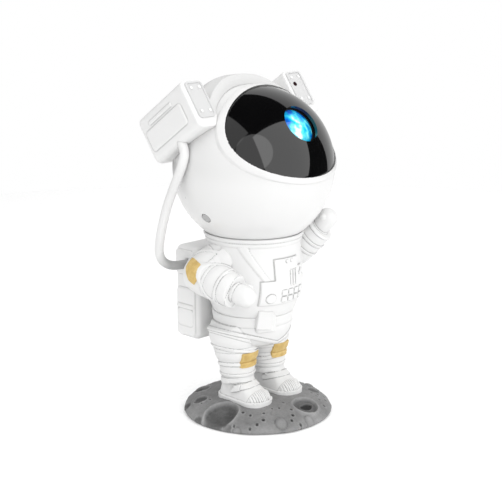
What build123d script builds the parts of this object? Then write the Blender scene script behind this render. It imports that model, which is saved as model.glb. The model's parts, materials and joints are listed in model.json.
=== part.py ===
"""Star and nebula projector in the form of a standing astronaut on a piece of moon ground.

Frame: millimetres, +Z up, origin at the centre of the base's underside, the figure faces -Y,
so its right side is -X. The helmet's pieces are drawn in the helmet's own frame, with its
centre at the origin and its visor facing -Y, and are tipped back when they are written.
"""

import os
from math import cos, hypot, pi, radians, sin, tan

from build123d import *

os.makedirs("parts", exist_ok=True)

# ---------------------------------------------------------------- driving dimensions

# base
base_radius = 50.8
base_height = 12.4
base_edge_height = 3.2
pad_radius = 4.5
pad_circle = 38.0
rim_clearance = 0.4
cover_radius = 44.0
cover_thickness = 1.8
cover_recess = 0.8
ballast_radius = 36.0
ballast_thickness = 3.0
base_screw_circle = 40.0

# helmet
helmet_radius = 53.2
helmet_underside = 114.3
helmet_height = helmet_underside + helmet_radius
helmet_back = 3.8
helmet_pitch = 35.0
shell_wall = 2.4
seam_back = 6.0
visor_half_width = 44.75
visor_half_height = 35.6
visor_rise = 4.05
visor_wall = 2.2
rim_width = 3.0
rim_proud = 1.1
lens_rise = 2.4
lens_hole_radius = 13.0

# ear packs, in the helmet's frame
pack_inner = 38.0
pack_overhang = 3.8
pack_outer = helmet_radius + pack_overhang
pack_front = 25.5
pack_rear = 24.0
pack_bottom = 21.0
pack_top = 54.0
pack_rounding = 4.5
face_plate_width = 14.2
face_plate_height = 25.4
face_plate_thickness = 1.0
rivet_radius = 1.1
rivet_pitch_x = 7.1
rivet_pitch_z = 16.5

# headband over the helmet, between the packs
band_front = 24.0
band_rear = 7.0
band_height = 6.2
band_root = 9.2
band_reach = helmet_radius + band_height

# projector module, in the helmet's frame
frame_front = 22.5
frame_plate = 2.5
frame_spacing = 10.0
barrel_radius = 14.4
barrel_setback = 5.8
barrel_front = helmet_radius - barrel_setback
lens_radius = 12.2
gear_module = 1.0
disc_teeth = 44
pinion_teeth = 10
star_teeth = 18
pin_radius = 1.5
shaft_radius = 1.0
disc_drop = 13.0
pinion_angle = 15.0
star_angle = 136.4
motor_radius = 6.0
motor_length = 16.5
laser_radius = 3.2

# control panel on the back of the helmet
panel_tilt = 22.0
panel_radius = 15.0
panel_setback = 2.6
panel_distance = helmet_radius - panel_setback
panel_wall = 3.1
button_radius = 3.0
button_pitch = 9.5
button_proud = 1.0
button_flange = 1.2
button_travel = 0.8

# neck
neck_seat_radius = 27.0
neck_seat_bottom = 104.0
swivel_radius = 14.0
swivel_bottom = 108.0
magnet_radius = 9.0
magnet_thickness = 4.0
collar_bottom = 119.5
collar_top = 125.0
collar_radius = 33.3

# suit
torso_bottom = 71.3
belt_bottom = 64.3
belt_radius = 27.7
waist_radius = 22.0
hips_back = 4.6
leg_spread = 15.2
hip_height = 66.0
hip_line = 45.8
ankle_height = 26.5
plate_proud = 1.2
key_proud = 0.8
patch_proud = 0.6
band_proud = 0.5

# backpack
backpack_width = 56.0
backpack_front = 29.3
backpack_rear = 50.7
backpack_bottom = 48.0
backpack_top = 112.2
backpack_rounding = 4.0

# breathing hoses
hose_radius = 3.0

# clearances
running_gap = 0.3
pin_fit = 0.05
seat_fit = 0.1

# ---------------------------------------------------------------- frames and small tools

helmet_place = Plane(
    origin=(0, helmet_back, helmet_height),
    x_dir=(1, 0, 0),
    z_dir=(0, sin(radians(helmet_pitch)), cos(radians(helmet_pitch))),
)
upright = Location((0, 0, 0))
control_plane = Plane(
    origin=(0, 0, 0),
    x_dir=(-1, 0, 0),
    z_dir=(0, cos(radians(panel_tilt)), sin(radians(panel_tilt))),
)


def write(piece, label, place=upright):
    finished = piece.part.moved(place)
    finished.label = label
    export_step(finished, f"parts/{label}.step")


def facing_front(distance):
    # plane across the helmet, so far in front of its centre, looking out of the visor
    return Plane.XZ.offset(distance)


def side_plane(side, distance):
    # plane on the figure's right (side -1) or left (side 1), local x to the rear, local y up
    return Plane(origin=(side * distance, 0, 0), x_dir=(0, side, 0), z_dir=(side, 0, 0))


def pleated_limb(start, end, pleats, grow=0.0):
    # suit limb: a round body along a line, with soft bulges between creases and a raised
    # band on each inner crease; pleats are (distance along, radius, bulge before the crease)
    base = Vector(*start)
    along = (Vector(*end) - base).normalized()
    radial = Plane(origin=base, z_dir=along).x_dir
    section = Plane(origin=base, x_dir=along, z_dir=along.cross(radial))
    half_band = 0.9
    with BuildPart() as limb:
        with BuildSketch(section):
            with BuildLine():
                here = (pleats[0][0], pleats[0][1] + grow)
                Line((pleats[0][0], 0), here)
                for index, (reach, radius, bulge) in enumerate(pleats[1:], start=1):
                    last = index == len(pleats) - 1
                    there = (reach if last else reach - half_band, radius + grow)
                    middle = ((here[0] + there[0]) / 2, (here[1] + there[1]) / 2 + bulge)
                    ThreePointArc(here, middle, there)
                    if last:
                        Line(there, (reach, 0))
                    else:
                        top = radius + grow + band_proud
                        Polyline(there, (there[0], top), (reach + half_band, top),
                                 (reach + half_band, radius + grow))
                        here = (reach + half_band, radius + grow)
                Line((pleats[-1][0], 0), (pleats[0][0], 0))
            make_face()
        revolve(axis=Axis(base, along))
    return limb.part


def torso_form(grow=0.0):
    # body of the suit, a turned form about the helmet's vertical axis
    with BuildPart() as form:
        with BuildSketch(Plane(origin=(0, helmet_back, 0), x_dir=(1, 0, 0), z_dir=(0, -1, 0))):
            with BuildLine():
                Line((0, torso_bottom), (27.0 + grow, torso_bottom))
                Spline((27.0 + grow, torso_bottom), (31.0 + grow, 83.0), (32.2 + grow, 96.0),
                       (31.4 + grow, 109.0), (31.6 + grow, collar_bottom))
                Polyline((31.6 + grow, collar_bottom), (0, collar_bottom), (0, torso_bottom))
            make_face()
        revolve(axis=Axis((0, helmet_back, 0), (0, 0, 1)))
    return form.part


def spur_gear(teeth, module, thickness, plane, centre, phase=0.0):
    # straight-sided teeth, thinned for backlash; the rim is drawn as one profile
    pitch_radius = module * teeth / 2
    root, tip = pitch_radius - 1.15 * module, pitch_radius + 0.8 * module
    step = 2 * pi / teeth
    points = []
    for tooth in range(teeth):
        middle = tooth * step + radians(phase)
        for radius, share in ((root, -0.30), (tip, -0.11), (tip, 0.11), (root, 0.30)):
            angle = middle + share * step
            points.append((centre[0] + radius * cos(angle), centre[1] + radius * sin(angle)))
    with BuildPart() as gear:
        with BuildSketch(plane):
            with BuildLine():
                Polyline(*points, close=True)
            make_face()
        extrude(amount=thickness)
    return gear.part


def helmet_ball(clearance):
    # the ball that the helmet sweeps, in the figure's frame
    with BuildPart() as ball:
        with Locations((0, helmet_back, helmet_height)):
            Sphere(helmet_radius + clearance)
    return ball.part


# ---------------------------------------------------------------- base

cover_bottom = rim_clearance + 0.4
cover_top = cover_bottom + cover_thickness

# craters: (x, y, radius, depth, rim height)
craters = ((-41.0, -5.0, 9.5, 3.2, 1.1), (6.5, -37.0, 7.6, 2.2, 1.0), (-33.0, 22.0, 4.0, 1.4, 0.7),
           (38.0, 14.0, 6.4, 2.2, 0.9), (33.0, -20.0, 3.6, 1.2, 0.6), (-17.0, 37.0, 5.0, 1.6, 0.8),
           (17.0, 38.0, 3.8, 1.4, 0.7))
dome_fall = 1.35e-6


def ground_height(distance):
    # height of the dome over the base's underside, so far from its middle
    return base_height - dome_fall * distance**4


with BuildPart() as moon_base:
    with BuildSketch(Plane.XZ):
        with BuildLine():
            Line((0, rim_clearance), (0, base_height))
            Spline((0, base_height), (24, ground_height(24)), (42, ground_height(42)),
                   (base_radius, base_edge_height), tangents=((1, 0), (0.15, -1)))
            Line((base_radius, base_edge_height), (base_radius - 1.2, rim_clearance))
            Line((base_radius - 1.2, rim_clearance), (0, rim_clearance))
        make_face()
    revolve(axis=Axis.Z)
    for x, y, radius, depth, rim in craters:
        height = ground_height(hypot(x, y))
        ball = (radius**2 + depth**2) / (2 * depth)
        with Locations((x, y, height - 0.5 * rim)):
            Torus(radius, rim)
        with Locations((x, y, height + ball - depth)):
            Sphere(ball, mode=Mode.SUBTRACT)
    with BuildSketch(Plane.XY):
        Circle(cover_radius + seat_fit)
    extrude(amount=cover_top, mode=Mode.SUBTRACT)
    with BuildSketch(Plane.XY.offset(cover_top)):
        Circle(ballast_radius + seat_fit)
    extrude(amount=ballast_thickness, mode=Mode.SUBTRACT)
    with BuildSketch(Plane.XY.offset(cover_top)):
        with PolarLocations(base_screw_circle, 3):
            Circle(1.3)
    extrude(amount=3.4, mode=Mode.SUBTRACT)

with BuildPart() as base_cover:
    with BuildSketch(Plane.XY.offset(cover_bottom)):
        Circle(cover_radius)
        with PolarLocations(base_screw_circle, 3):
            Circle(1.3, mode=Mode.SUBTRACT)
    extrude(amount=cover_thickness)
    with BuildSketch(Plane.XY.offset(cover_bottom)):
        Circle(pad_radius)
        with PolarLocations(pad_circle, 4, start_angle=45):
            Circle(pad_radius)
        with PolarLocations(base_screw_circle, 3):
            Circle(2.6)
    extrude(amount=cover_recess, mode=Mode.SUBTRACT)

with BuildPart() as ballast_plate:
    with BuildSketch(Plane.XY.offset(cover_top)):
        Circle(ballast_radius)
    extrude(amount=ballast_thickness)

with BuildPart() as base_pads:
    with BuildSketch(Plane.XY):
        Circle(pad_radius)
        with PolarLocations(pad_circle, 4, start_angle=45):
            Circle(pad_radius)
    extrude(amount=cover_bottom + cover_recess)
    fillet(base_pads.faces().group_by(Axis.Z)[0].edges(), 0.4)

with BuildPart() as base_screws:
    with BuildSketch(Plane.XY.offset(cover_bottom + cover_recess - 0.7)):
        with PolarLocations(base_screw_circle, 3):
            Circle(2.5)
    extrude(amount=0.7)
    with BuildSketch(Plane.XY.offset(cover_bottom + cover_recess)):
        with PolarLocations(base_screw_circle, 3):
            Circle(1.3)
    extrude(amount=4.0)

# ---------------------------------------------------------------- torso, collar and neck

torso_solid = torso_form()

with BuildPart() as torso:
    add(torso_solid)
    with BuildSketch(Plane(origin=(0, helmet_back, neck_seat_bottom))):
        Circle(neck_seat_radius)
    extrude(amount=collar_bottom - neck_seat_bottom, mode=Mode.SUBTRACT)

with BuildPart() as neck_dish:
    with BuildSketch(Plane(origin=(0, helmet_back, neck_seat_bottom))):
        Circle(neck_seat_radius)
    extrude(amount=collar_bottom - neck_seat_bottom)
    with BuildSketch(Plane(origin=(0, helmet_back, swivel_bottom))):
        Circle(swivel_radius + pin_fit)
    extrude(amount=collar_bottom, mode=Mode.SUBTRACT)
    add(helmet_ball(running_gap), mode=Mode.SUBTRACT)

with BuildPart() as collar_ring:
    with BuildSketch(Plane(origin=(0, helmet_back, 0), x_dir=(1, 0, 0), z_dir=(0, -1, 0))):
        with BuildLine():
            Line((neck_seat_radius, collar_bottom), (collar_radius - 1.6, collar_bottom))
            ThreePointArc((collar_radius - 1.6, collar_bottom),
                          (collar_radius - 0.9, collar_bottom + 1.3),
                          (collar_radius - 1.3, collar_bottom + 2.6))
            ThreePointArc((collar_radius - 1.3, collar_bottom + 2.6),
                          (collar_radius, collar_bottom + 4.0),
                          (collar_radius - 0.2, collar_top))
            Polyline((collar_radius - 0.2, collar_top), (neck_seat_radius, collar_top),
                     (neck_seat_radius, collar_bottom))
        make_face()
    revolve(axis=Axis((0, helmet_back, 0), (0, 0, 1)))
    add(helmet_ball(running_gap), mode=Mode.SUBTRACT)

with BuildPart() as neck_swivel:
    with BuildSketch(Plane(origin=(0, helmet_back, swivel_bottom))):
        Circle(swivel_radius)
    extrude(amount=12)
    add(helmet_ball(pin_fit), mode=Mode.SUBTRACT)
    with BuildSketch(Plane(origin=(0, helmet_back, swivel_bottom))):
        Circle(magnet_radius)
    extrude(amount=magnet_thickness, mode=Mode.SUBTRACT)

with BuildPart() as neck_magnet:
    with BuildSketch(Plane(origin=(0, helmet_back, swivel_bottom))):
        Circle(magnet_radius)
    extrude(amount=magnet_thickness)

# ---------------------------------------------------------------- belt and hips

belt_taper = 1.3
buckle_turn = radians(28)
buckle_plane = Plane(origin=(0, hips_back, (belt_bottom + torso_bottom) / 2 - 0.6),
                     x_dir=(cos(buckle_turn), -sin(buckle_turn), 0),
                     z_dir=(-sin(buckle_turn), -cos(buckle_turn), 0))


def turned_about_hips(*corners):
    # ring or body with its axis upright through the middle of the hips
    with BuildPart() as body:
        with BuildSketch(Plane(origin=(0, hips_back, 0), x_dir=(1, 0, 0), z_dir=(0, -1, 0))):
            with BuildLine():
                Polyline(*corners, close=True)
            make_face()
        revolve(axis=Axis((0, hips_back, 0), (0, 0, 1)))
    return body.part


with BuildPart() as belt:
    add(turned_about_hips((waist_radius, belt_bottom), (belt_radius - belt_taper, belt_bottom),
                          (belt_radius - belt_taper + 0.5, belt_bottom + 0.5),
                          (belt_radius, torso_bottom - 0.5), (belt_radius - 0.5, torso_bottom),
                          (waist_radius, torso_bottom)))

with BuildPart() as belt_buckle:
    with BuildSketch(buckle_plane.offset(belt_radius - 5.0)):
        RectangleRounded(13.4, 11.8, 1.4)
    extrude(amount=7.1)
    chamfer(belt_buckle.faces().sort_by(Axis((0, 0, 0), tuple(buckle_plane.z_dir)))[-1].edges(), 0.5)
    add(belt.part, mode=Mode.SUBTRACT)
    add(torso_solid, mode=Mode.SUBTRACT)

# ---------------------------------------------------------------- hips, legs, boots and knee patches

boot_top = 28.0
sole_bottom = 10.6
sole_top = 14.2
leg_pleats = ((0, 14.6, 0), (19.5, 14.6, 2.8), (29.3, 11.9, 0.8), (39.2, 10.3, 0.7))
hem_height = 54.3
hem_slope = 0.42
hem_width = 2.2
hem_proud = 0.7


def leg_line(side):
    return (side * leg_spread, 7.8, hip_height), (side * leg_spread, 3.8, ankle_height)


def hem_plane(side):
    # edge of the suit's leg opening, higher on the outside of the thigh
    return Plane(origin=(side * leg_spread, 7.0, hem_height), z_dir=(-side * hem_slope, 0, 1))


with BuildPart() as hip_envelope:
    with BuildSketch(Plane(origin=(0, hips_back, 0), x_dir=(1, 0, 0), z_dir=(0, -1, 0))):
        with BuildLine():
            Line((0, belt_bottom), (28.4, belt_bottom))
            Spline((28.4, belt_bottom), (30.6, 58.5), (31.8, 50.0), (31.0, 40.0))
            Polyline((31.0, 40.0), (0, 40.0), (0, belt_bottom))
        make_face()
    revolve(axis=Axis((0, hips_back, 0), (0, 0, 1)))

with BuildPart() as hips:
    with BuildSketch(Plane(origin=(0, hips_back, 0), x_dir=(1, 0, 0), z_dir=(0, -1, 0))):
        with BuildLine():
            Polyline((0, torso_bottom), (waist_radius, torso_bottom), (waist_radius, belt_bottom),
                     (belt_radius - belt_taper, belt_bottom))
            Spline((belt_radius - belt_taper, belt_bottom), (25.4, 58.6), (21.5, 51.4), (11.0, 46.9),
                   (0, hip_line), tangents=((0.1, -1), (-1, 0)))
            Line((0, hip_line), (0, torso_bottom))
        make_face()
    revolve(axis=Axis((0, hips_back, 0), (0, 0, 1)))
    for side in (-1, 1):
        with BuildPart(mode=Mode.PRIVATE) as upper_thigh:
            add(pleated_limb(*leg_line(side), leg_pleats))
            split(bisect_by=hem_plane(side), keep=Keep.TOP)
            add(hip_envelope.part, mode=Mode.INTERSECT)
        add(upper_thigh.part)
    add(belt_buckle.part, mode=Mode.SUBTRACT)


def hull_sketch(plane, x, heel, toe, heel_radius, toe_radius):
    # footprint-like outline: two circles and their common tangents
    with BuildSketch(plane) as outline:
        with BuildLine():
            CenterArc((x, heel), heel_radius, 0, 360)
            CenterArc((x, toe), toe_radius, 0, 360)
        make_hull()
    return outline.sketch


def boot_form(side):
    x = side * leg_spread
    with BuildPart() as form:
        for height, heel, toe, heel_radius, toe_radius in (
            (sole_top, 7.6, -13.0, 9.4, 10.0), (18.4, 6.6, -11.4, 9.2, 8.9),
            (22.6, 5.2, -6.0, 9.4, 7.4), (boot_top, 4.2, 3.2, 10.0, 9.9),
        ):
            with BuildSketch(Plane.XY.offset(height)):
                add(hull_sketch(Plane.XY, x, heel, toe, heel_radius, toe_radius))
        loft()
    return form.part


legs, boots, knee_pads = {}, {}, {}
for side in (-1, 1):
    start, end = leg_line(side)
    limb = pleated_limb(start, end, leg_pleats)
    with BuildPart() as hem:
        add(pleated_limb(start, end, leg_pleats, grow=hem_proud))
        with BuildSketch(hem_plane(side).offset(-hem_width)):
            Rectangle(80, 80)
        extrude(amount=hem_width, mode=Mode.INTERSECT)

    with BuildPart() as leg:
        add(limb)
        split(bisect_by=hem_plane(side), keep=Keep.BOTTOM)
        add(hem.part)
        add(hips.part, mode=Mode.SUBTRACT)
        split(bisect_by=Plane.YZ.offset(side * 0.02), keep=Keep.TOP if side > 0 else Keep.BOTTOM)
    legs[side] = leg

    form = boot_form(side)
    x = side * leg_spread
    with BuildPart() as boot:
        add(form)
        with BuildSketch(Plane.XY.offset(sole_bottom)):
            add(hull_sketch(Plane.XY, x, 7.8, -13.6, 10.0, 10.9))
        extrude(amount=sole_top - sole_bottom)
        with BuildSketch(Plane(origin=(x, 3.8, boot_top - 4.4))):
            Circle(10.9)
        extrude(amount=3.6)
        with BuildSketch(Plane(origin=(x, -12.0, sole_top - 0.6))):
            with PolarLocations(10.2, 7, start_angle=-132, angular_range=84, endpoint=True):
                Rectangle(5.0, 0.7)
        extrude(amount=5.0, mode=Mode.SUBTRACT)
        add(leg.part, mode=Mode.SUBTRACT)
        add(moon_base.part, mode=Mode.SUBTRACT)
    boots[side] = boot

    patch_limb = pleated_limb(start, end, leg_pleats, grow=band_proud + patch_proud)
    with BuildPart() as pad:
        with BuildSketch(Plane(origin=(x, 0, 0), x_dir=(1, 0, 0), z_dir=(0, -1, 0))):
            with Locations((0, 40.6)):
                RectangleRounded(15.0, 10.2, 0.8)
        extrude(amount=20)
        add(patch_limb, mode=Mode.INTERSECT)
        add(leg.part, mode=Mode.SUBTRACT)
    knee_pads[side] = pad

with BuildPart() as knee_patches:
    add(knee_pads[-1].part)
    add(knee_pads[1].part)

# ---------------------------------------------------------------- arms and elbow patches

right_shoulder, right_elbow = (-18.0, 5.5, 109.5), (-36.0, 16.2, 98.7)
right_wrist, right_tip = (-37.5, -15.5, 92.6), (-36.4, -30.4, 89.9)
left_shoulder, left_elbow = (17.0, 5.0, 109.0), (33.0, -3.6, 107.2)
left_wrist, left_tip = (38.8, -21.4, 124.4), (41.9, -29.6, 135.9)
elbow_radius = 12.6
left_elbow_radius = 11.9
hand_radius = 6.8
thumb_radius = 2.9


def mitten(wrist, tip, thumb):
    # closed glove, a round form from the wrist to its tip, with a thumb at its side
    base = Vector(*wrist)
    along = (Vector(*tip) - base).normalized()
    reach = (Vector(*tip) - base).length
    radial = Plane(origin=base, z_dir=along).x_dir
    with BuildPart() as hand:
        with BuildSketch(Plane(origin=base, x_dir=along, z_dir=along.cross(radial))):
            with BuildLine():
                Polyline((reach, 0), (-2.0, 0), (-2.0, hand_radius - 1.4), (0, hand_radius - 1.0))
                Spline((0, hand_radius - 1.0), (0.5 * reach, hand_radius), (reach, 0),
                       tangents=((1, 0.3), (0, -1)))
            make_face()
        revolve(axis=Axis(base, along))
        with Locations(thumb):
            Sphere(thumb_radius)
    return hand.part


# room for the helmet and its raised visor rim to turn in
swept_ball = helmet_ball(rim_proud + running_gap)


def arm_part(shoulder, elbow, wrist, upper, lower, round_radius, hand):
    # upper arm, round elbow, pleated forearm and glove
    with BuildPart() as arm:
        add(pleated_limb(shoulder, elbow, upper))
        add(pleated_limb(elbow, wrist, lower))
        with Locations(elbow):
            Sphere(round_radius)
        add(hand)
        add(torso_solid, mode=Mode.SUBTRACT)
        add(swept_ball, mode=Mode.SUBTRACT)
        with BuildSketch(Plane(origin=(0, helmet_back, collar_bottom))):
            Circle(collar_radius)
        extrude(amount=collar_top - collar_bottom, mode=Mode.SUBTRACT)
    return arm


right_upper = ((0, 14.8, 0), (12.0, 14.2, 0.8), (23.5, 12.4, 0.8))
right_lower = ((0, 12.4, 0), (13.0, 12.0, 0.8), (24.5, 11.0, 0.8), (32.3, 9.8, 0.4))
left_upper = ((0, 13.6, 0), (10.0, 13.0, 0.7), (19.0, 11.8, 0.6))
left_lower = ((0, 11.7, 0), (9.0, 11.2, 0.6), (16.5, 10.6, 0.6), (25.0, 9.4, 0.4))

right_arm = arm_part(right_shoulder, right_elbow, right_wrist, right_upper, right_lower,
                     elbow_radius, mitten(right_wrist, right_tip, (-31.6, -22.0, 94.8)))
left_arm = arm_part(left_shoulder, left_elbow, left_wrist, left_upper, left_lower,
                    left_elbow_radius, mitten(left_wrist, left_tip, (35.8, -26.6, 132.0)))


def elbow_patch(arm, elbow, radius, outward):
    # stitched patch over the point of the elbow
    facing = Plane(origin=elbow, x_dir=Vector(*outward).cross(Vector(0, 0, 1)), z_dir=outward)
    with BuildPart() as patch:
        with BuildSketch(facing):
            RectangleRounded(10.5, 14.0, 1.0)
        extrude(amount=radius + 6)
        with Locations(elbow):
            Sphere(radius + patch_proud, mode=Mode.INTERSECT)
        add(arm.part, mode=Mode.SUBTRACT)
        add(torso_solid, mode=Mode.SUBTRACT)
    return patch


right_patch = elbow_patch(right_arm, right_elbow, elbow_radius, (-0.86, -0.33, 0.38))
left_patch = elbow_patch(left_arm, left_elbow, left_elbow_radius, (0.80, 0.55, -0.25))

with BuildPart() as elbow_patches:
    add(right_patch.part)
    add(left_patch.part)

# ---------------------------------------------------------------- chest panel and harness

plate_solid = torso_form(plate_proud)
key_solid = torso_form(plate_proud + key_proud)
strap_solid = torso_form(patch_proud)

with BuildPart() as chest_panel:
    with BuildSketch(Plane.XZ):
        with BuildLine():
            Polyline((-20.3, 80.8), (-20.3, 96.9), (-11.6, 96.9), (-12.0, 111.0), (8.0, 111.0),
                     (8.0, 104.0), (14.0, 104.0), (14.0, 96.9), (18.0, 96.9), (18.0, 80.8),
                     close=True)
        make_face()
    extrude(amount=60)
    add(plate_solid, mode=Mode.INTERSECT)
    add(torso_solid, mode=Mode.SUBTRACT)
    add(right_arm.part, mode=Mode.SUBTRACT)

with BuildPart() as chest_keys:
    with BuildSketch(Plane.XZ):
        with Locations((3.0, 86.2)):
            with GridLocations(5.4, 4.6, 4, 2):
                RectangleRounded(4.2, 3.4, 0.6)
        with Locations((-14.6, 85.4)):
            Circle(3.0)
        with Locations((2.8, 98.0)):
            with GridLocations(2.5, 1, 3, 1):
                Rectangle(1.3, 10.0)
        with Locations((-3.0, 109.2), (1.2, 109.2)):
            Circle(0.95)
        with Locations((10.6, 100.6)):
            Rectangle(1.1, 4.6, rotation=-38)
    extrude(amount=60)
    add(key_solid, mode=Mode.INTERSECT)
    add(plate_solid, mode=Mode.SUBTRACT)

with BuildPart() as harness_straps:
    for side in (-1, 1):
        with BuildSketch(Plane.XZ):
            with BuildLine():
                ThreePointArc((side * 27.6, collar_bottom), (side * 23.4, 109.0), (side * 16.6, 96.9))
            trace(line_width=2.8)
        extrude(amount=60)
    add(strap_solid, mode=Mode.INTERSECT)
    add(torso_solid, mode=Mode.SUBTRACT)
    add(chest_panel.part, mode=Mode.SUBTRACT)
    add(right_arm.part, mode=Mode.SUBTRACT)
    add(left_arm.part, mode=Mode.SUBTRACT)

# ---------------------------------------------------------------- backpack

hose_port = (0, 37.6, 100.9)
port_depth = 2.4
pack_middle = (backpack_front + backpack_rear) / 2
side_relief = 0.8


with BuildPart() as backpack:
    with Locations((0, pack_middle, (backpack_bottom + backpack_top) / 2)):
        Box(backpack_width, backpack_rear - backpack_front, backpack_top - backpack_bottom)
    fillet(backpack.edges(), backpack_rounding)
    half = backpack_width / 2
    for side in (-1, 1):
        for plate in ((33.0, 49.2, 93.2, 109.6, 0, side_relief), (31.6, 48.4, 50.4, 83.2, 0, side_relief),
                      (32.0, 48.0, 69.6, 71.6, side_relief, 0.7), (33.2, 46.8, 57.4, 68.6, side_relief, 0.6)):
            back_from, back_to, low, high, step, amount = plate
            with BuildSketch(side_plane(side, half + step)):
                with Locations((side * (back_from + back_to) / 2, (low + high) / 2)):
                    RectangleRounded(back_to - back_from, high - low, min(2.4, (high - low) / 2.2))
            extrude(amount=amount)
        with BuildSketch(side_plane(side, half - port_depth)):
            with Locations((side * hose_port[1], hose_port[2])):
                Circle(hose_radius + seat_fit)
        extrude(amount=port_depth + 5, mode=Mode.SUBTRACT)
    add(torso_solid, mode=Mode.SUBTRACT)
    add(hips.part, mode=Mode.SUBTRACT)
    add(belt.part, mode=Mode.SUBTRACT)
    add(collar_ring.part, mode=Mode.SUBTRACT)

with BuildPart() as backpack_cover:
    with BuildSketch(Plane(origin=(0, backpack_rear, (backpack_bottom + backpack_top) / 2),
                           x_dir=(-1, 0, 0), z_dir=(0, 1, 0))):
        RectangleRounded(backpack_width - 12, backpack_top - backpack_bottom - 12, 4)
    extrude(amount=1.2)
    chamfer(backpack_cover.faces().sort_by(Axis.Y)[-1].edges(), 0.5)
    with BuildSketch(Plane(origin=(0, backpack_rear + 1.2, 86), x_dir=(-1, 0, 0), z_dir=(0, 1, 0))):
        with GridLocations(1, 5.0, 1, 4):
            SlotOverall(26, 2.2)
    extrude(amount=-0.7, mode=Mode.SUBTRACT)
    with BuildSketch(Plane(origin=(0, backpack_rear + 1.2, 64), x_dir=(-1, 0, 0), z_dir=(0, 1, 0))):
        RectangleRounded(30, 14, 2)
        RectangleRounded(28.6, 12.6, 1.4, mode=Mode.SUBTRACT)
    extrude(amount=-0.7, mode=Mode.SUBTRACT)

# ---------------------------------------------------------------- helmet shells

screw_directions = ((-45.4, 15.5, -23.7), (45.4, 15.5, -23.7), (-30.0, 17.0, 41.0), (30.0, 17.0, 41.0))
screw_shank = 1.25
screw_head = 3.0
screw_recess = 3.6
recess_depth = 1.3
tongue_depth = 8.6
tongue_inner = helmet_radius - tongue_depth
tongue_half_width = 4.2
tongue_reach = 17.0
frame_boss_places = ((-37.0, 12.0), (37.0, 12.0), (-37.0, -12.0), (37.0, -12.0))
frame_back = frame_front - frame_plate


def screw_plane(direction, distance):
    # across a screw that points at the helmet's centre, local x to the rear
    outward = Vector(*direction).normalized()
    rearward = (Vector(0, 1, 0) - outward * outward.Y).normalized()
    return Plane(origin=outward * distance, x_dir=rearward, z_dir=outward)


with BuildPart() as visor_rim:
    with BuildSketch(Plane.XZ):
        with Locations((0, visor_rise)):
            Ellipse(visor_half_width + rim_width, visor_half_height + rim_width)
            Ellipse(visor_half_width, visor_half_height, mode=Mode.SUBTRACT)
    extrude(amount=helmet_radius + 5)
    Sphere(helmet_radius + rim_proud, mode=Mode.INTERSECT)
    Sphere(helmet_radius - shell_wall, mode=Mode.SUBTRACT)

with BuildPart() as visor:
    with BuildSketch(Plane.XZ):
        with Locations((0, visor_rise)):
            Ellipse(visor_half_width, visor_half_height)
        with Locations((0, lens_rise)):
            Circle(lens_hole_radius, mode=Mode.SUBTRACT)
    extrude(amount=helmet_radius + 5)
    Sphere(helmet_radius, mode=Mode.INTERSECT)
    Sphere(helmet_radius - visor_wall, mode=Mode.SUBTRACT)

with BuildPart() as frame_bosses:
    for x, z in frame_boss_places:
        with BuildSketch(facing_front(frame_back)):
            with BuildLine():
                CenterArc((x, z), 3.0, 0, 360)
                CenterArc((x * 1.32, z * 1.32), 1.6, 0, 360)
            make_hull()
        extrude(amount=-12)
    Sphere(helmet_radius - 0.5, mode=Mode.INTERSECT)
    add(visor_rim.part, mode=Mode.SUBTRACT)

with BuildPart() as rear_skin:
    Sphere(helmet_radius + 5)
    Sphere(helmet_radius - shell_wall - seat_fit, mode=Mode.SUBTRACT)
    split(bisect_by=Plane.XZ.offset(-seam_back), keep=Keep.BOTTOM)

with BuildPart() as tongues:
    for direction in screw_directions:
        with BuildSketch(screw_plane(direction, tongue_inner - 5)):
            SlotCenterPoint((-tongue_reach / 2, 0), (0, 0), 2 * tongue_half_width)
        extrude(amount=30)
    Sphere(helmet_radius - shell_wall / 2, mode=Mode.INTERSECT)
    Sphere(tongue_inner, mode=Mode.SUBTRACT)
    add(rear_skin.part, mode=Mode.SUBTRACT)

with BuildPart() as head_front:
    Sphere(helmet_radius, rotation=(90, 0, 0))
    Sphere(helmet_radius - shell_wall, rotation=(90, 0, 0), mode=Mode.SUBTRACT)
    with BuildSketch(Plane.XZ):
        with Locations((0, visor_rise)):
            Ellipse(visor_half_width + rim_width, visor_half_height + rim_width)
    extrude(amount=helmet_radius + 5, mode=Mode.SUBTRACT)
    split(bisect_by=Plane.XZ.offset(-seam_back), keep=Keep.TOP)
    add(frame_bosses.part)
    add(tongues.part)
    for direction in screw_directions:
        with BuildSketch(screw_plane(direction, helmet_radius)):
            Circle(screw_shank)
        extrude(amount=-20, mode=Mode.SUBTRACT)
    with BuildSketch(facing_front(frame_back)):
        for x, z in frame_boss_places:
            with Locations((x, z)):
                Circle(1.1)
    extrude(amount=-8, mode=Mode.SUBTRACT)

with BuildPart() as rear_bosses:
    with BuildSketch(control_plane.offset(panel_distance - panel_wall)):
        Circle(panel_radius + 2.4)
    extrude(amount=6)
    Sphere(helmet_radius - 0.5, mode=Mode.INTERSECT)

socket_width = 9.0
socket_height = 3.3
socket_drop = 9.0
board_setback = 8.7
board_distance = panel_distance - board_setback
board_thickness = 1.6
post_pitch = (25.0, 17.0)

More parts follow.
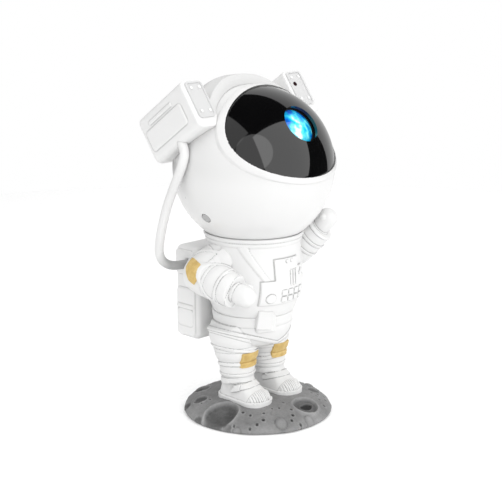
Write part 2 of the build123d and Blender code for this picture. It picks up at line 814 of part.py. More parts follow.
with BuildPart() as head_rear:
    Sphere(helmet_radius, rotation=(90, 0, 0))
    Sphere(helmet_radius - shell_wall, rotation=(90, 0, 0), mode=Mode.SUBTRACT)
    split(bisect_by=Plane.XZ.offset(-seam_back), keep=Keep.BOTTOM)
    add(rear_bosses.part)
    with BuildSketch(control_plane.offset(panel_distance)):
        Circle(panel_radius)
    extrude(amount=8, mode=Mode.SUBTRACT)
    with BuildSketch(control_plane.offset(board_distance + board_thickness)):
        with GridLocations(*post_pitch, 2, 2):
            Circle(2.0)
    extrude(amount=panel_distance - panel_wall - board_distance - board_thickness)
    with BuildSketch(control_plane.offset(panel_distance)):
        with GridLocations(button_pitch, 1, 3, 1):
            Circle(button_radius + seat_fit)
        with Locations((0, -socket_drop)):
            SlotOverall(socket_width + 0.4, socket_height + 0.4)
    extrude(amount=-panel_wall, mode=Mode.SUBTRACT)
    for direction in screw_directions:
        with BuildSketch(screw_plane(direction, helmet_radius - recess_depth)):
            Circle(screw_recess)
        extrude(amount=8, mode=Mode.SUBTRACT)
        with BuildSketch(screw_plane(direction, helmet_radius)):
            Circle(screw_shank)
        extrude(amount=-8, mode=Mode.SUBTRACT)

with BuildPart() as head_screws:
    for direction in screw_directions:
        with BuildSketch(screw_plane(direction, helmet_radius - recess_depth)):
            Circle(screw_head)
        extrude(amount=recess_depth - 0.3)
        with BuildSketch(screw_plane(direction, helmet_radius - recess_depth)):
            Circle(screw_shank)
        extrude(amount=tongue_inner + 1 - helmet_radius + recess_depth)

with BuildPart() as steel_plate:
    Sphere(helmet_radius - shell_wall)
    Sphere(helmet_radius - shell_wall - 1.6, mode=Mode.SUBTRACT)
    down = Plane(origin=(0, 0, 0),
                 z_dir=(0, sin(radians(helmet_pitch)), -cos(radians(helmet_pitch))))
    with BuildSketch(down):
        Circle(17)
    extrude(amount=helmet_radius, mode=Mode.INTERSECT)

# ---------------------------------------------------------------- ear packs and headband

hose_inset = 3.6
hose_exit = (hose_inset - pack_outer, -2.0)
hose_seat = pack_bottom + 6.0
hose_straight = 9.5

with BuildPart() as helmet_solid:
    Sphere(helmet_radius)


def rim_envelope():
    with BuildPart() as envelope:
        with BuildSketch(Plane.XZ):
            with Locations((0, visor_rise)):
                Ellipse(visor_half_width + rim_width, visor_half_height + rim_width)
        extrude(amount=helmet_radius + 5)
    return envelope.part


rim_space = rim_envelope()
pack_centre = ((pack_inner + pack_outer) / 2, (pack_rear - pack_front) / 2, (pack_top + pack_bottom) / 2)

with BuildPart() as right_ear_pack:
    with Locations((-pack_centre[0], pack_centre[1], pack_centre[2])):
        Box(pack_outer - pack_inner, pack_rear + pack_front, pack_top - pack_bottom)
    fillet(right_ear_pack.edges().filter_by(Axis.Y), pack_rounding)
    fillet(right_ear_pack.faces().sort_by(Axis.Y)[0].edges(), 1.2)
    fillet(right_ear_pack.faces().sort_by(Axis.Y)[-1].edges(), 2.4)
    with BuildSketch(side_plane(-1, pack_outer)):
        with Locations((-1.0, 35.6)):
            RectangleRounded(38.0, 13.6, 2.2)
    extrude(amount=0.9)
    with BuildSketch(side_plane(-1, pack_outer)):
        with Locations((-1.5, 46.0)):
            SlotOverall(25.0, 1.8)
    extrude(amount=0.6)
    with BuildSketch(Plane(origin=(hose_exit[0], hose_exit[1], hose_seat), z_dir=(0, 0, -1))):
        Circle(hose_radius + seat_fit)
    extrude(amount=12, mode=Mode.SUBTRACT)
    add(helmet_solid.part, mode=Mode.SUBTRACT)
    add(rim_space, mode=Mode.SUBTRACT)

with BuildPart() as left_ear_pack:
    add(mirror(right_ear_pack.part, about=Plane.YZ, mode=Mode.PRIVATE))

plate_shift = 0.6
plate_middle = ((pack_inner + pack_outer) / 2 - plate_shift, 39.7)

with BuildPart() as right_face_plate:
    with BuildSketch(facing_front(pack_front)):
        with Locations((-plate_middle[0], plate_middle[1])):
            RectangleRounded(face_plate_width, face_plate_height, 2.6)
    extrude(amount=face_plate_thickness)
    with BuildSketch(facing_front(pack_front + face_plate_thickness)):
        with Locations((-plate_middle[0], plate_middle[1])):
            RectangleRounded(face_plate_width - 2.4, face_plate_height - 2.4, 1.6)
    extrude(amount=-0.5, mode=Mode.SUBTRACT)
    add(rim_space, mode=Mode.SUBTRACT)

ir_place = (plate_middle[0] - 2.7, plate_middle[1] + 3.3)
ir_radius = 1.5

with BuildPart() as left_face_plate:
    add(mirror(right_face_plate.part, about=Plane.YZ, mode=Mode.PRIVATE))
    with BuildSketch(facing_front(pack_front)):
        with Locations(ir_place):
            Circle(ir_radius)
    extrude(amount=face_plate_thickness, mode=Mode.SUBTRACT)

with BuildPart() as remote_window:
    with BuildSketch(facing_front(pack_front)):
        with Locations(ir_place):
            Circle(ir_radius)
    extrude(amount=face_plate_thickness - 0.2)

with BuildPart() as pack_rivets:
    for side in (-1, 1):
        with BuildSketch(facing_front(pack_front + face_plate_thickness - 0.5)):
            with Locations((side * plate_middle[0], plate_middle[1])):
                with GridLocations(rivet_pitch_x, rivet_pitch_z, 2, 2):
                    Circle(rivet_radius)
        extrude(amount=0.7)

with BuildPart() as headband:
    with BuildSketch(Plane.XY):
        with BuildLine():
            Polyline((helmet_radius - band_root, -band_front), (band_reach - 5.6, -band_front + 0.6),
                     (band_reach - 1.2, -band_front + 9.0))
            ThreePointArc((band_reach - 1.2, -band_front + 9.0), (band_reach, -6.0),
                          (band_reach - 0.8, band_rear - 2.0))
            Polyline((band_reach - 0.8, band_rear - 2.0), (band_reach - 2.6, band_rear),
                     (helmet_radius - band_root, band_rear),
                     (helmet_radius - band_root, -band_front))
        make_face()
    revolve(axis=Axis.Y, revolution_arc=-180)
    with BuildSketch(Plane.XY.offset(30)):
        Rectangle(2 * pack_inner, 80)
    extrude(amount=40, mode=Mode.INTERSECT)
    add(helmet_solid.part, mode=Mode.SUBTRACT)
    add(rim_space, mode=Mode.SUBTRACT)
    add(right_ear_pack.part, mode=Mode.SUBTRACT)
    add(left_ear_pack.part, mode=Mode.SUBTRACT)

# ---------------------------------------------------------------- projector module

pitch = gear_module / 2
disc_centre = (0.0, lens_rise - disc_drop)
disc_to_pinion = pitch * (disc_teeth + pinion_teeth)
pinion_to_star = pitch * (pinion_teeth + star_teeth)
pinion_centre = (disc_centre[0] + disc_to_pinion * cos(radians(pinion_angle)),
                 disc_centre[1] + disc_to_pinion * sin(radians(pinion_angle)))
star_centre = (pinion_centre[0] + pinion_to_star * cos(radians(star_angle)),
               pinion_centre[1] + pinion_to_star * sin(radians(star_angle)))
laser_place = (star_centre[0] - 6.4, star_centre[1] - 1.4)
rear_plate_front = frame_spacing
rear_plate_back = frame_spacing - frame_plate
disc_front, disc_thickness = 18.2, 2.5
star_front, star_thickness = 13.4, 2.0
pinion_front = 18.7
led_radius = 3.6

with BuildPart() as light_frame:
    with BuildSketch(facing_front(frame_back)):
        Ellipse(43.0, 34.5)
        with Locations((0, lens_rise)):
            Circle(lens_radius, mode=Mode.SUBTRACT)
        with Locations(disc_centre):
            Circle(pin_radius, mode=Mode.SUBTRACT)
        for x, z in frame_boss_places:
            with Locations((x, z)):
                Circle(1.1, mode=Mode.SUBTRACT)
    extrude(amount=frame_plate)
    with BuildSketch(facing_front(rear_plate_back)):
        with Locations((0, -0.5)):
            RectangleRounded(64, 44, 3)
        with Locations((0, lens_rise)):
            Circle(led_radius + 0.2, mode=Mode.SUBTRACT)
        with Locations(disc_centre, star_centre):
            Circle(pin_radius, mode=Mode.SUBTRACT)
        with Locations(pinion_centre):
            Circle(shaft_radius + 0.5, mode=Mode.SUBTRACT)
        with Locations(laser_place):
            Circle(laser_radius, mode=Mode.SUBTRACT)
    extrude(amount=frame_plate)
    with BuildSketch(facing_front(rear_plate_front)):
        with GridLocations(57, 36, 2, 2):
            Circle(2.5)
    extrude(amount=frame_back - rear_plate_front)

with BuildPart() as frame_screws:
    with BuildSketch(facing_front(frame_front)):
        for x, z in frame_boss_places:
            with Locations((x, z)):
                Circle(2.2)
    extrude(amount=1.2)
    with BuildSketch(facing_front(frame_front)):
        for x, z in frame_boss_places:
            with Locations((x, z)):
                Circle(1.1)
    extrude(amount=-9)

with BuildPart() as gear_pins:
    with BuildSketch(facing_front(rear_plate_back)):
        with Locations(disc_centre):
            Circle(pin_radius)
    extrude(amount=frame_front - rear_plate_back)
    with BuildSketch(facing_front(rear_plate_back)):
        with Locations(star_centre):
            Circle(pin_radius)
    extrude(amount=star_front + 0.2 - rear_plate_back)
    with BuildSketch(facing_front(star_front + 0.2)):
        with Locations(star_centre):
            Circle(pin_radius + 0.9)
    extrude(amount=1.0)

with BuildPart() as lens_barrel:
    with BuildSketch(facing_front(frame_front)):
        with Locations((0, lens_rise)):
            Circle(barrel_radius + 3)
            Circle(lens_radius, mode=Mode.SUBTRACT)
    extrude(amount=2.0)
    with BuildSketch(facing_front(frame_front + 2.0)):
        with Locations((0, lens_rise)):
            Circle(barrel_radius)
            Circle(lens_radius - 1.0, mode=Mode.SUBTRACT)
    extrude(amount=barrel_front - frame_front - 2.0)
    with BuildSketch(facing_front(barrel_front)):
        with Locations((0, lens_rise)):
            Circle(lens_radius)
    extrude(amount=-4.0, mode=Mode.SUBTRACT)

lens_thickness = 4.0
lens_bulge = 2.6

with BuildPart() as projector_lens:
    with BuildSketch(facing_front(barrel_front - lens_thickness)):
        with Locations((0, lens_rise)):
            Circle(lens_radius)
    extrude(amount=lens_thickness + lens_bulge + 0.6)
    dome_radius = (lens_radius**2 + lens_bulge**2) / (2 * lens_bulge)
    with Locations((0, -(barrel_front + lens_bulge - dome_radius), lens_rise)):
        Sphere(dome_radius, mode=Mode.INTERSECT)

disc_gear = spur_gear(disc_teeth, gear_module, disc_thickness,
                      facing_front(disc_front - disc_thickness), disc_centre)

with BuildPart() as ripple_disc:
    add(disc_gear)
    with BuildSketch(facing_front(rear_plate_front + 0.2)):
        with Locations(disc_centre):
            Circle(3.0)
    extrude(amount=frame_back - rear_plate_front - 0.4)
    with BuildSketch(facing_front(rear_plate_front)):
        with Locations(disc_centre):
            Circle(pin_radius + pin_fit)
    extrude(amount=frame_back, mode=Mode.SUBTRACT)

star_gear = spur_gear(star_teeth, gear_module, star_thickness,
                      facing_front(star_front - star_thickness), star_centre,
                      phase=star_angle + 180 + 180 / star_teeth)

with BuildPart() as star_wheel:
    add(star_gear)
    with BuildSketch(facing_front(rear_plate_front + 0.1)):
        with Locations(star_centre):
            Circle(2.6)
    extrude(amount=star_front - rear_plate_front - 0.1 - star_thickness)
    with BuildSketch(facing_front(rear_plate_front)):
        with Locations(star_centre):
            Circle(pin_radius + pin_fit)
    extrude(amount=frame_back, mode=Mode.SUBTRACT)

# the pinion's tooth faces the gap of each wheel on the line between their centres
disc_turn = pinion_angle * disc_teeth / 360
pinion_phase = pinion_angle + 180 + (0.5 + disc_turn % 1) * 360 / pinion_teeth
pinion_gear = spur_gear(pinion_teeth, gear_module, pinion_front - 11.0, facing_front(11.0),
                        pinion_centre, phase=pinion_phase)

with BuildPart() as pinion:
    add(pinion_gear)
    with BuildSketch(facing_front(11.0)):
        with Locations(pinion_centre):
            Circle(shaft_radius)
    extrude(amount=-13.0)

with BuildPart() as motor:
    with BuildSketch(facing_front(rear_plate_back)):
        with Locations(pinion_centre):
            Circle(motor_radius)
    extrude(amount=-motor_length)
    chamfer(motor.edges().filter_by(GeomType.CIRCLE), 0.6)
    with BuildSketch(facing_front(rear_plate_back)):
        with Locations(pinion_centre):
            Circle(shaft_radius + pin_fit)
    extrude(amount=-10.0, mode=Mode.SUBTRACT)

with BuildPart() as led_board:
    with BuildSketch(facing_front(rear_plate_back)):
        with Locations((-5.4, lens_rise)):
            RectangleRounded(20.6, 22, 1)
    extrude(amount=-1.6)
    with BuildSketch(facing_front(rear_plate_back)):
        with Locations((0, lens_rise)):
            Circle(led_radius)
    extrude(amount=2.0)

with BuildPart() as heat_sink:
    with BuildSketch(facing_front(rear_plate_back - 1.6)):
        with Locations((-5.4, lens_rise)):
            Rectangle(20.6, 22)
    extrude(amount=-2.0)
    with BuildSketch(facing_front(rear_plate_back - 3.6)):
        with Locations((-5.4, lens_rise)):
            with GridLocations(4.6, 1, 5, 1):
                Rectangle(1.2, 22)
    extrude(amount=-9.0)

with BuildPart() as laser_module:
    with BuildSketch(facing_front(rear_plate_front - 0.4)):
        with Locations(laser_place):
            Circle(laser_radius)
    extrude(amount=-14.0)

# ---------------------------------------------------------------- controls

flange_front = panel_distance - panel_wall - 0.05
switch_height = flange_front - button_flange - button_travel - 0.05 - board_distance - board_thickness

with BuildPart() as button_board:
    with BuildSketch(control_plane.offset(board_distance)):
        RectangleRounded(34, 26, 2)
    extrude(amount=board_thickness)
    with BuildSketch(control_plane.offset(board_distance + board_thickness)):
        with GridLocations(button_pitch, 1, 3, 1):
            RectangleRounded(4.4, 4.4, 0.4)
    extrude(amount=switch_height)

with BuildPart() as usb_socket:
    with BuildSketch(control_plane.offset(board_distance + board_thickness)):
        with Locations((0, -socket_drop)):
            SlotOverall(socket_width, socket_height)
    extrude(amount=panel_distance - board_distance - board_thickness - 0.3)
    with BuildSketch(control_plane.offset(panel_distance - 0.3)):
        with Locations((0, -socket_drop)):
            SlotOverall(socket_width - 0.7, socket_height - 0.7)
            Rectangle(6.4, 0.8, mode=Mode.SUBTRACT)
    extrude(amount=-5.0, mode=Mode.SUBTRACT)

buttons = {}
for name, place in (("mode_button", -button_pitch), ("power_button", 0), ("speed_button", button_pitch)):
    with BuildPart() as button:
        with BuildSketch(control_plane.offset(flange_front - button_flange)):
            with Locations((place, 0)):
                Circle(button_radius + 1.0)
        extrude(amount=button_flange)
        with BuildSketch(control_plane.offset(flange_front)):
            with Locations((place, 0)):
                Circle(button_radius)
        extrude(amount=panel_distance + button_proud - flange_front)
        chamfer(button.edges().filter_by(GeomType.CIRCLE).sort_by(
            Axis((0, 0, 0), tuple(control_plane.z_dir)))[-1], 0.4)
    buttons[name] = button

# ---------------------------------------------------------------- breathing hoses


def in_figure(point):
    return helmet_place.from_local_coords(Vector(*point))


# right hose: from the ear pack's underside, down behind the shoulder, round into the backpack
hose_route = [
    in_figure((hose_exit[0], hose_exit[1], hose_seat)),
    in_figure((hose_exit[0], hose_exit[1], hose_seat - hose_straight)),
    Vector(-56.4, 11.9, 174.5),
    Vector(-56.2, 16.8, 165.5),
    Vector(-55.0, 23.2, 155.5),
    Vector(-54.2, 29.2, 145.0),
    Vector(-53.8, 33.8, 133.4),
    Vector(-52.8, 38.0, 122.2),
    Vector(-50.4, 42.2, 112.6),
    Vector(-47.0, 43.7, 105.4),
    Vector(-41.6, 41.8, 101.2),
    Vector(-35.6, hose_port[1], hose_port[2]),
    Vector(-backpack_width / 2 + port_depth, hose_port[1], hose_port[2]),
]


def corner_radii(points):
    radii = []
    for before, corner, after in zip(points, points[1:], points[2:]):
        first, second = corner - before, after - corner
        half_turn = radians(first.get_angle(second)) / 2
        radii.append(0.45 * min(first.length, second.length) / tan(half_turn))
    return radii


def hose(side):
    points = [Vector(-side * point.X, point.Y, point.Z) for point in hose_route]
    radii = corner_radii(points)
    with BuildPart() as tube:
        with BuildLine() as path:
            FilletPolyline(*points, radius=radii)
        heading = (points[1] - points[0]).normalized()
        with BuildSketch(Plane(origin=points[0], z_dir=heading)):
            Circle(hose_radius)
        sweep(path=path.line)
    if side < 0:
        length = sum(edge.length for edge in path.edges())
        print("hose radii", [round(radius, 1) for radius in radii])
        print("hose length", round(length, 1), "volume", round(tube.part.volume, 1),
              "section x length", round(pi * hose_radius**2 * length, 1))
    return tube


right_hose = hose(-1)
left_hose = hose(1)

# ---------------------------------------------------------------- write every piece

for piece, label in (
    (moon_base, "moon_base"), (base_cover, "base_cover"), (ballast_plate, "ballast_plate"),
    (base_pads, "base_pads"), (base_screws, "base_screws"), (torso, "torso"),
    (collar_ring, "collar_ring"), (neck_dish, "neck_dish"), (neck_swivel, "neck_swivel"),
    (neck_magnet, "neck_magnet"), (belt, "belt"), (belt_buckle, "belt_buckle"), (hips, "hips"),
    (legs[-1], "right_leg"), (legs[1], "left_leg"), (boots[-1], "right_boot"),
    (boots[1], "left_boot"), (knee_patches, "knee_patches"), (right_arm, "right_arm"),
    (left_arm, "left_arm"), (elbow_patches, "elbow_patches"), (chest_panel, "chest_panel"),
    (chest_keys, "chest_keys"), (harness_straps, "harness_straps"), (backpack, "backpack"),
    (backpack_cover, "backpack_cover"), (right_hose, "right_hose"), (left_hose, "left_hose"),
):
    write(piece, label)

for piece, label in (
    (head_front, "head_front"), (head_rear, "head_rear"), (head_screws, "head_screws"),
    (visor_rim, "visor_rim"), (visor, "visor"), (steel_plate, "steel_plate"),
    (headband, "headband"), (right_ear_pack, "right_ear_pack"), (left_ear_pack, "left_ear_pack"),
    (right_face_plate, "right_face_plate"), (left_face_plate, "left_face_plate"),
    (remote_window, "remote_window"), (pack_rivets, "pack_rivets"), (light_frame, "light_frame"),
    (frame_screws, "frame_screws"), (gear_pins, "gear_pins"), (lens_barrel, "lens_barrel"),
    (projector_lens, "projector_lens"), (ripple_disc, "ripple_disc"), (star_wheel, "star_wheel"),
    (pinion, "pinion"), (motor, "motor"), (led_board, "led_board"), (heat_sink, "heat_sink"),
    (laser_module, "laser_module"), (button_board, "button_board"), (usb_socket, "usb_socket"),
    (buttons["mode_button"], "mode_button"), (buttons["power_button"], "power_button"),
    (buttons["speed_button"], "speed_button"),
):
    write(piece, label, helmet_place.location)
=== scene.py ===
import json
from math import cos, exp, hypot, pi, radians, sin, sqrt, tan

import bmesh
import bpy
import numpy as np
from mathutils import Matrix, Vector, noise
from mathutils.bvhtree import BVHTree


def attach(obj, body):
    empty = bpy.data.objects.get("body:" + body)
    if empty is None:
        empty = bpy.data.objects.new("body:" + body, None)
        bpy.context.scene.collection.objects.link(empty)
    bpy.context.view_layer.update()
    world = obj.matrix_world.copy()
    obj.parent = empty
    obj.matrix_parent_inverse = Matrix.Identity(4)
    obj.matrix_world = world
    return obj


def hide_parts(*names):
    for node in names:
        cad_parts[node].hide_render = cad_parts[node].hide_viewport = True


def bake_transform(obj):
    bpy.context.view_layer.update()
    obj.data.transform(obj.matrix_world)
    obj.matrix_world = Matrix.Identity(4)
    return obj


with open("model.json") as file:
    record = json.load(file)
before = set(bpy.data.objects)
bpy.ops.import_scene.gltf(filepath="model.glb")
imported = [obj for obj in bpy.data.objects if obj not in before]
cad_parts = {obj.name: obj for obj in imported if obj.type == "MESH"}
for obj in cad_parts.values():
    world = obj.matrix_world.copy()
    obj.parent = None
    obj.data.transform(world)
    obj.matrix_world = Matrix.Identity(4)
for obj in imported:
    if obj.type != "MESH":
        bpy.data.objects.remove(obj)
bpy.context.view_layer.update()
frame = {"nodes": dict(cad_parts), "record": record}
nodes = frame["nodes"]
scene = bpy.context.scene
print("frame loaded,", len(nodes), "nodes")

mm = 0.001
sides = (("right", -1), ("left", 1))


def point(x, y, z):
    return Vector((x, y, z)) * mm


def mirrored(vector, sign):
    # values are written for the figure's right-hand side, where x is negative
    return (-sign * vector[0], vector[1], vector[2])


def share(value, none, full):
    # 0 at one bound and before it, 1 at the other and past it, even between them
    return min(1.0, max(0.0, (value - none) / (full - none)))


helmet = {"centre": (0, 3.8, 167.5), "lean": -35}
helmetPlace = Matrix.Translation(point(*helmet["centre"])) @ Matrix.Rotation(radians(helmet["lean"]), 4, "X")


def onHelmet(x, y, z):
    return helmetPlace @ point(x, y, z)


# ---- camera and lights

camera = {
    "place": (-575.69, -536.81, 299.32),
    "right": (0.68616, -0.72745, 0.0),
    "up": (0.16953, 0.15991, 0.97246),
    "back": (-0.70742, -0.66727, 0.23305),
    "lens": 87.3, "sensor": 36, "nearest": 0.05,
}
eye = bpy.data.objects.new("studioCamera", bpy.data.cameras.new("studioCamera"))
scene.collection.objects.link(eye)
eyeTurn = Matrix((camera["right"], camera["up"], camera["back"])).transposed().to_4x4()
eye.matrix_world = Matrix.Translation(point(*camera["place"])) @ eyeTurn
eye.data.lens = camera["lens"]
eye.data.sensor_width = camera["sensor"]
eye.data.clip_start = camera["nearest"]
scene.camera = eye

lights = {
    # azimuth from the front and elevation in degrees, distance, width and height in metres, shape, brightness
    "frontSoftbox": (3, 27, 1.30, 1.90, 1.85, "RECTANGLE", 0.95),
    "cameraDisk": (-46, 29, 1.35, 1.25, 1.25, "DISK", 0.60),
    "leftSoftbox": (-110, 44, 1.20, 1.30, 1.00, "RECTANGLE", 0.45),
    "leftFill": (-110, 44, 1.21, 1.30, 1.00, "RECTANGLE", 0.35),
    "rightPanel": (112, 18, 1.40, 2.00, 2.20, "RECTANGLE", 0.42),
    "topSoftbox": (0, 89, 0.95, 0.90, 0.90, "RECTANGLE", 0.80),
}
studio = {
    "aim": (0, 0, 130), "powerPerArea": 4,
    # lamps that the visor doesn't mirror
    "unmirrored": ("topSoftbox", "leftFill"),
    # strength of the walls as seen, as light and as mirrored
    "seen": 1.0, "ambient": 0.62, "mirrored": 0.02,
}
for name, (azimuth, elevation, distance, width, height, shape, brightness) in lights.items():
    lamp = bpy.data.objects.new(name, bpy.data.lights.new(name, "AREA"))
    lamp.data.shape = shape
    lamp.data.size = width
    if shape == "RECTANGLE":
        lamp.data.size_y = height
    area = width * height * (pi / 4 if shape == "DISK" else 1)
    lamp.data.energy = studio["powerPerArea"] * brightness * area
    level = cos(radians(elevation))
    away = Vector((level * sin(radians(azimuth)), -level * cos(radians(azimuth)), sin(radians(elevation))))
    lamp.location = point(*studio["aim"]) + away * distance
    lamp.rotation_mode = "QUATERNION"
    lamp.rotation_quaternion = (-away).to_track_quat("-Z", "Y")
    lamp.visible_camera = False
    lamp.visible_glossy = name not in studio["unmirrored"]
    scene.collection.objects.link(lamp)

# the studio walls: white to the eye, soft as a lamp, dark where they are mirrored
world = bpy.data.worlds.new("studioWorld")
world.use_nodes = True
wall = world.node_tree
ray = wall.nodes.new("ShaderNodeLightPath")
seen = wall.nodes.new("ShaderNodeMix")
reflected = wall.nodes.new("ShaderNodeMix")
seen.inputs["A"].default_value = studio["ambient"]
seen.inputs["B"].default_value = studio["seen"]
reflected.inputs["B"].default_value = studio["mirrored"]
wall.links.new(ray.outputs["Is Camera Ray"], seen.inputs["Factor"])
wall.links.new(ray.outputs["Is Glossy Ray"], reflected.inputs["Factor"])
wall.links.new(seen.outputs["Result"], reflected.inputs["A"])
wall.links.new(reflected.outputs["Result"], wall.nodes["Background"].inputs["Strength"])
wall.nodes["Background"].inputs["Color"].default_value = (1, 1, 1, 1)
scene.world = world
scene.view_settings.view_transform = "Standard"
print("camera and lights set")


# ---- shader tools

class Signal:
    # one output socket, with arithmetic that adds Math nodes
    def __init__(self, finish, socket):
        self.finish, self.socket = finish, socket

    def maths(self, operation, first, second):
        return self.finish.node("ShaderNodeMath", {"operation": operation}, {0: first, 1: second})

    def __add__(self, other):
        return self.maths("ADD", self, other)

    def __radd__(self, other):
        return self.maths("ADD", other, self)

    def __sub__(self, other):
        return self.maths("SUBTRACT", self, other)

    def __mul__(self, other):
        return self.maths("MULTIPLY", self, other)


class Finish:
    # a material with its Principled shader and the means to build what feeds it
    def __init__(self, name, **values):
        self.material = bpy.data.materials.new(name)
        self.material.use_nodes = True
        self.tree = self.material.node_tree
        self.shader = self.tree.nodes["Principled BSDF"]
        self.place = self.node("ShaderNodeTexCoord", output="Object")
        for socket, value in values.items():
            self.feed(socket.replace("_", " "), value)

    def node(self, kind, settings=None, inputs=None, output=0):
        made = self.tree.nodes.new(kind)
        for key, value in (settings or {}).items():
            setattr(made, key, value)
        for key, value in (inputs or {}).items():
            if isinstance(value, Signal):
                self.tree.links.new(value.socket, made.inputs[key])
            else:
                made.inputs[key].default_value = value
        return Signal(self, made.outputs[output])

    def feed(self, socket, value):
        if isinstance(value, Signal):
            self.tree.links.new(value.socket, self.shader.inputs[socket])
        else:
            self.shader.inputs[socket].default_value = value

    def noiseAt(self, scale, detail, rough=0.55, place=None):
        return self.node("ShaderNodeTexNoise", inputs={
            "Vector": place or self.place, "Scale": scale, "Detail": detail, "Roughness": rough})

    def cellsAt(self, scale, feature="F1", place=None):
        return self.node("ShaderNodeTexVoronoi", {"feature": feature},
                         {"Vector": place or self.place, "Scale": scale}, output="Distance")

    def mark(self, name):
        # reads a value that the mesh carries at its points
        return self.node("ShaderNodeAttribute", {"attribute_name": name}, output="Fac")

    def ramp(self, signal, *stops):
        made = self.node("ShaderNodeValToRGB", inputs={"Fac": signal})
        colours = made.socket.node.color_ramp
        colours.elements.remove(colours.elements[1])
        colours.elements[0].position, colours.elements[0].color = stops[0][0], grey(stops[0][1])
        for position, colour in stops[1:]:
            colours.elements.new(position).color = grey(colour)
        return made

    def blend(self, signal, first, second, kind="MIX"):
        # inputs 6 and 7 and output 2 of the Mix node are its colours
        return self.node("ShaderNodeMix", {"data_type": "RGBA", "blend_type": kind},
                         {"Factor": signal, 6: grey(first), 7: grey(second)}, output=2)

    def uneven(self, roughness, signal):
        # lowest roughness, and how much a signal adds to it
        lowest, spread = roughness
        self.feed("Roughness", lowest + signal * spread)

    def bump(self, signal, distance):
        self.feed("Normal", self.node("ShaderNodeBump", inputs={
            "Height": signal, "Distance": distance, "Strength": 1.0}))


def grey(colour):
    if isinstance(colour, Signal):
        return colour
    if isinstance(colour, (int, float)):
        return (colour, colour, colour, 1.0)
    return (*colour, 1.0)


# ---- finishes
# a noise is given as scale, detail and roughness, and an uneven roughness as its lowest value and its spread

whiteLook = {
    "cloud": (35.0, 4.0), "grain": (1400.0, 2.0), "relief": 0.00005, "sheenSpread": 0.12, "coatRoughness": 0.2,
    # tones as shares of the plastic's own; the crease tone is painted shade
    "cloudTone": 0.965, "creaseTone": 0.48, "creaseDullness": 0.1,
}


def mouldedWhite(name, tone, roughness, coat=0.0, relief=whiteLook["relief"]):
    # white plastic: a faint cloud of tone, a fine grain, and painted shade in its creases, which are also made
    # a little rougher
    look = whiteLook
    finish = Finish(name, Coat_Roughness=look["coatRoughness"])
    broad = finish.noiseAt(*look["cloud"])
    fine = finish.noiseAt(*look["grain"])
    # painted shade: this mark darkens the plastic where the skin is creased or lies in shade
    crease = finish.mark("crease")
    cloud = finish.blend(broad, [look["cloudTone"] * t for t in tone], tone)
    finish.feed("Base Color", finish.blend(crease, cloud, [look["creaseTone"] * t for t in tone]))
    spread = look["sheenSpread"]
    finish.feed("Roughness", roughness - spread / 2 + broad * spread + crease * look["creaseDullness"])
    finish.feed("Coat Weight", coat)
    finish.bump(fine * 0.6 + broad * 0.4, relief)
    return finish.material


suitWhite = mouldedWhite("suitWhite", (0.745, 0.745, 0.742), 0.48)
trimWhite = mouldedWhite("trimWhite", (0.72, 0.72, 0.717), 0.42)
helmetWhite = mouldedWhite("helmetWhite", (0.715, 0.715, 0.712), 0.30, coat=0.25, relief=0.00002)
packWhite = mouldedWhite("packWhite", (0.76, 0.76, 0.757), 0.40)
bandGrey = mouldedWhite("bandGrey", (0.62, 0.62, 0.617), 0.42)
plateGrey = mouldedWhite("plateGrey", (0.60, 0.60, 0.60), 0.42)
# painted shade: the screws are dark grey to stand for the shade inside their recesses
screwRecessShade = mouldedWhite("screwRecessShade", (0.40, 0.40, 0.40), 0.5)
hoseWhite = mouldedWhite("hoseWhite", (0.74, 0.74, 0.737), 0.5)

visorLook = {
    "index": 1.5, "coatRoughness": 0.02, "haze": (60.0, 3.0), "roughness": (0.05, 0.05),
    "clear": (0.0008, 0.0008, 0.001), "hazy": (0.0018, 0.0018, 0.002),
}


def visorShell():
    look = visorLook
    finish = Finish("visorBlack", IOR=look["index"], Coat_Weight=1.0, Coat_Roughness=look["coatRoughness"])
    haze = finish.noiseAt(*look["haze"])
    finish.feed("Base Color", finish.blend(haze, look["clear"], look["hazy"]))
    finish.uneven(look["roughness"], haze)
    return finish.material


lensLook = {
    "index": 1.5, "coatRoughness": 0.03, "roughness": 0.06, "glow": 0.75, "middle": (0, -50, 2.4),
    "swirl": (150.0, 2.0, 0.5), "facetScale": 190.0, "facetShare": 0.35,
    # brightness of the painted glow by the distance from the middle, in centimetres
    "paintedGlowScale": 100.0, "paintedGlow": ((0.0, 1.0), (0.35, 0.9), (0.7, 0.45), (1.0, 0.2)),
    # the rim is pushed towards the deep blues and the middle towards the pale ones
    "rimShift": 22.0, "middleShift": 0.06,
    "tints": ((0.20, (0.003, 0.04, 0.30)), (0.40, (0.004, 0.13, 0.60)), (0.56, (0.01, 0.42, 0.72)),
              (0.68, (0.12, 0.72, 0.85)), (0.82, (0.80, 0.95, 0.95))),
}


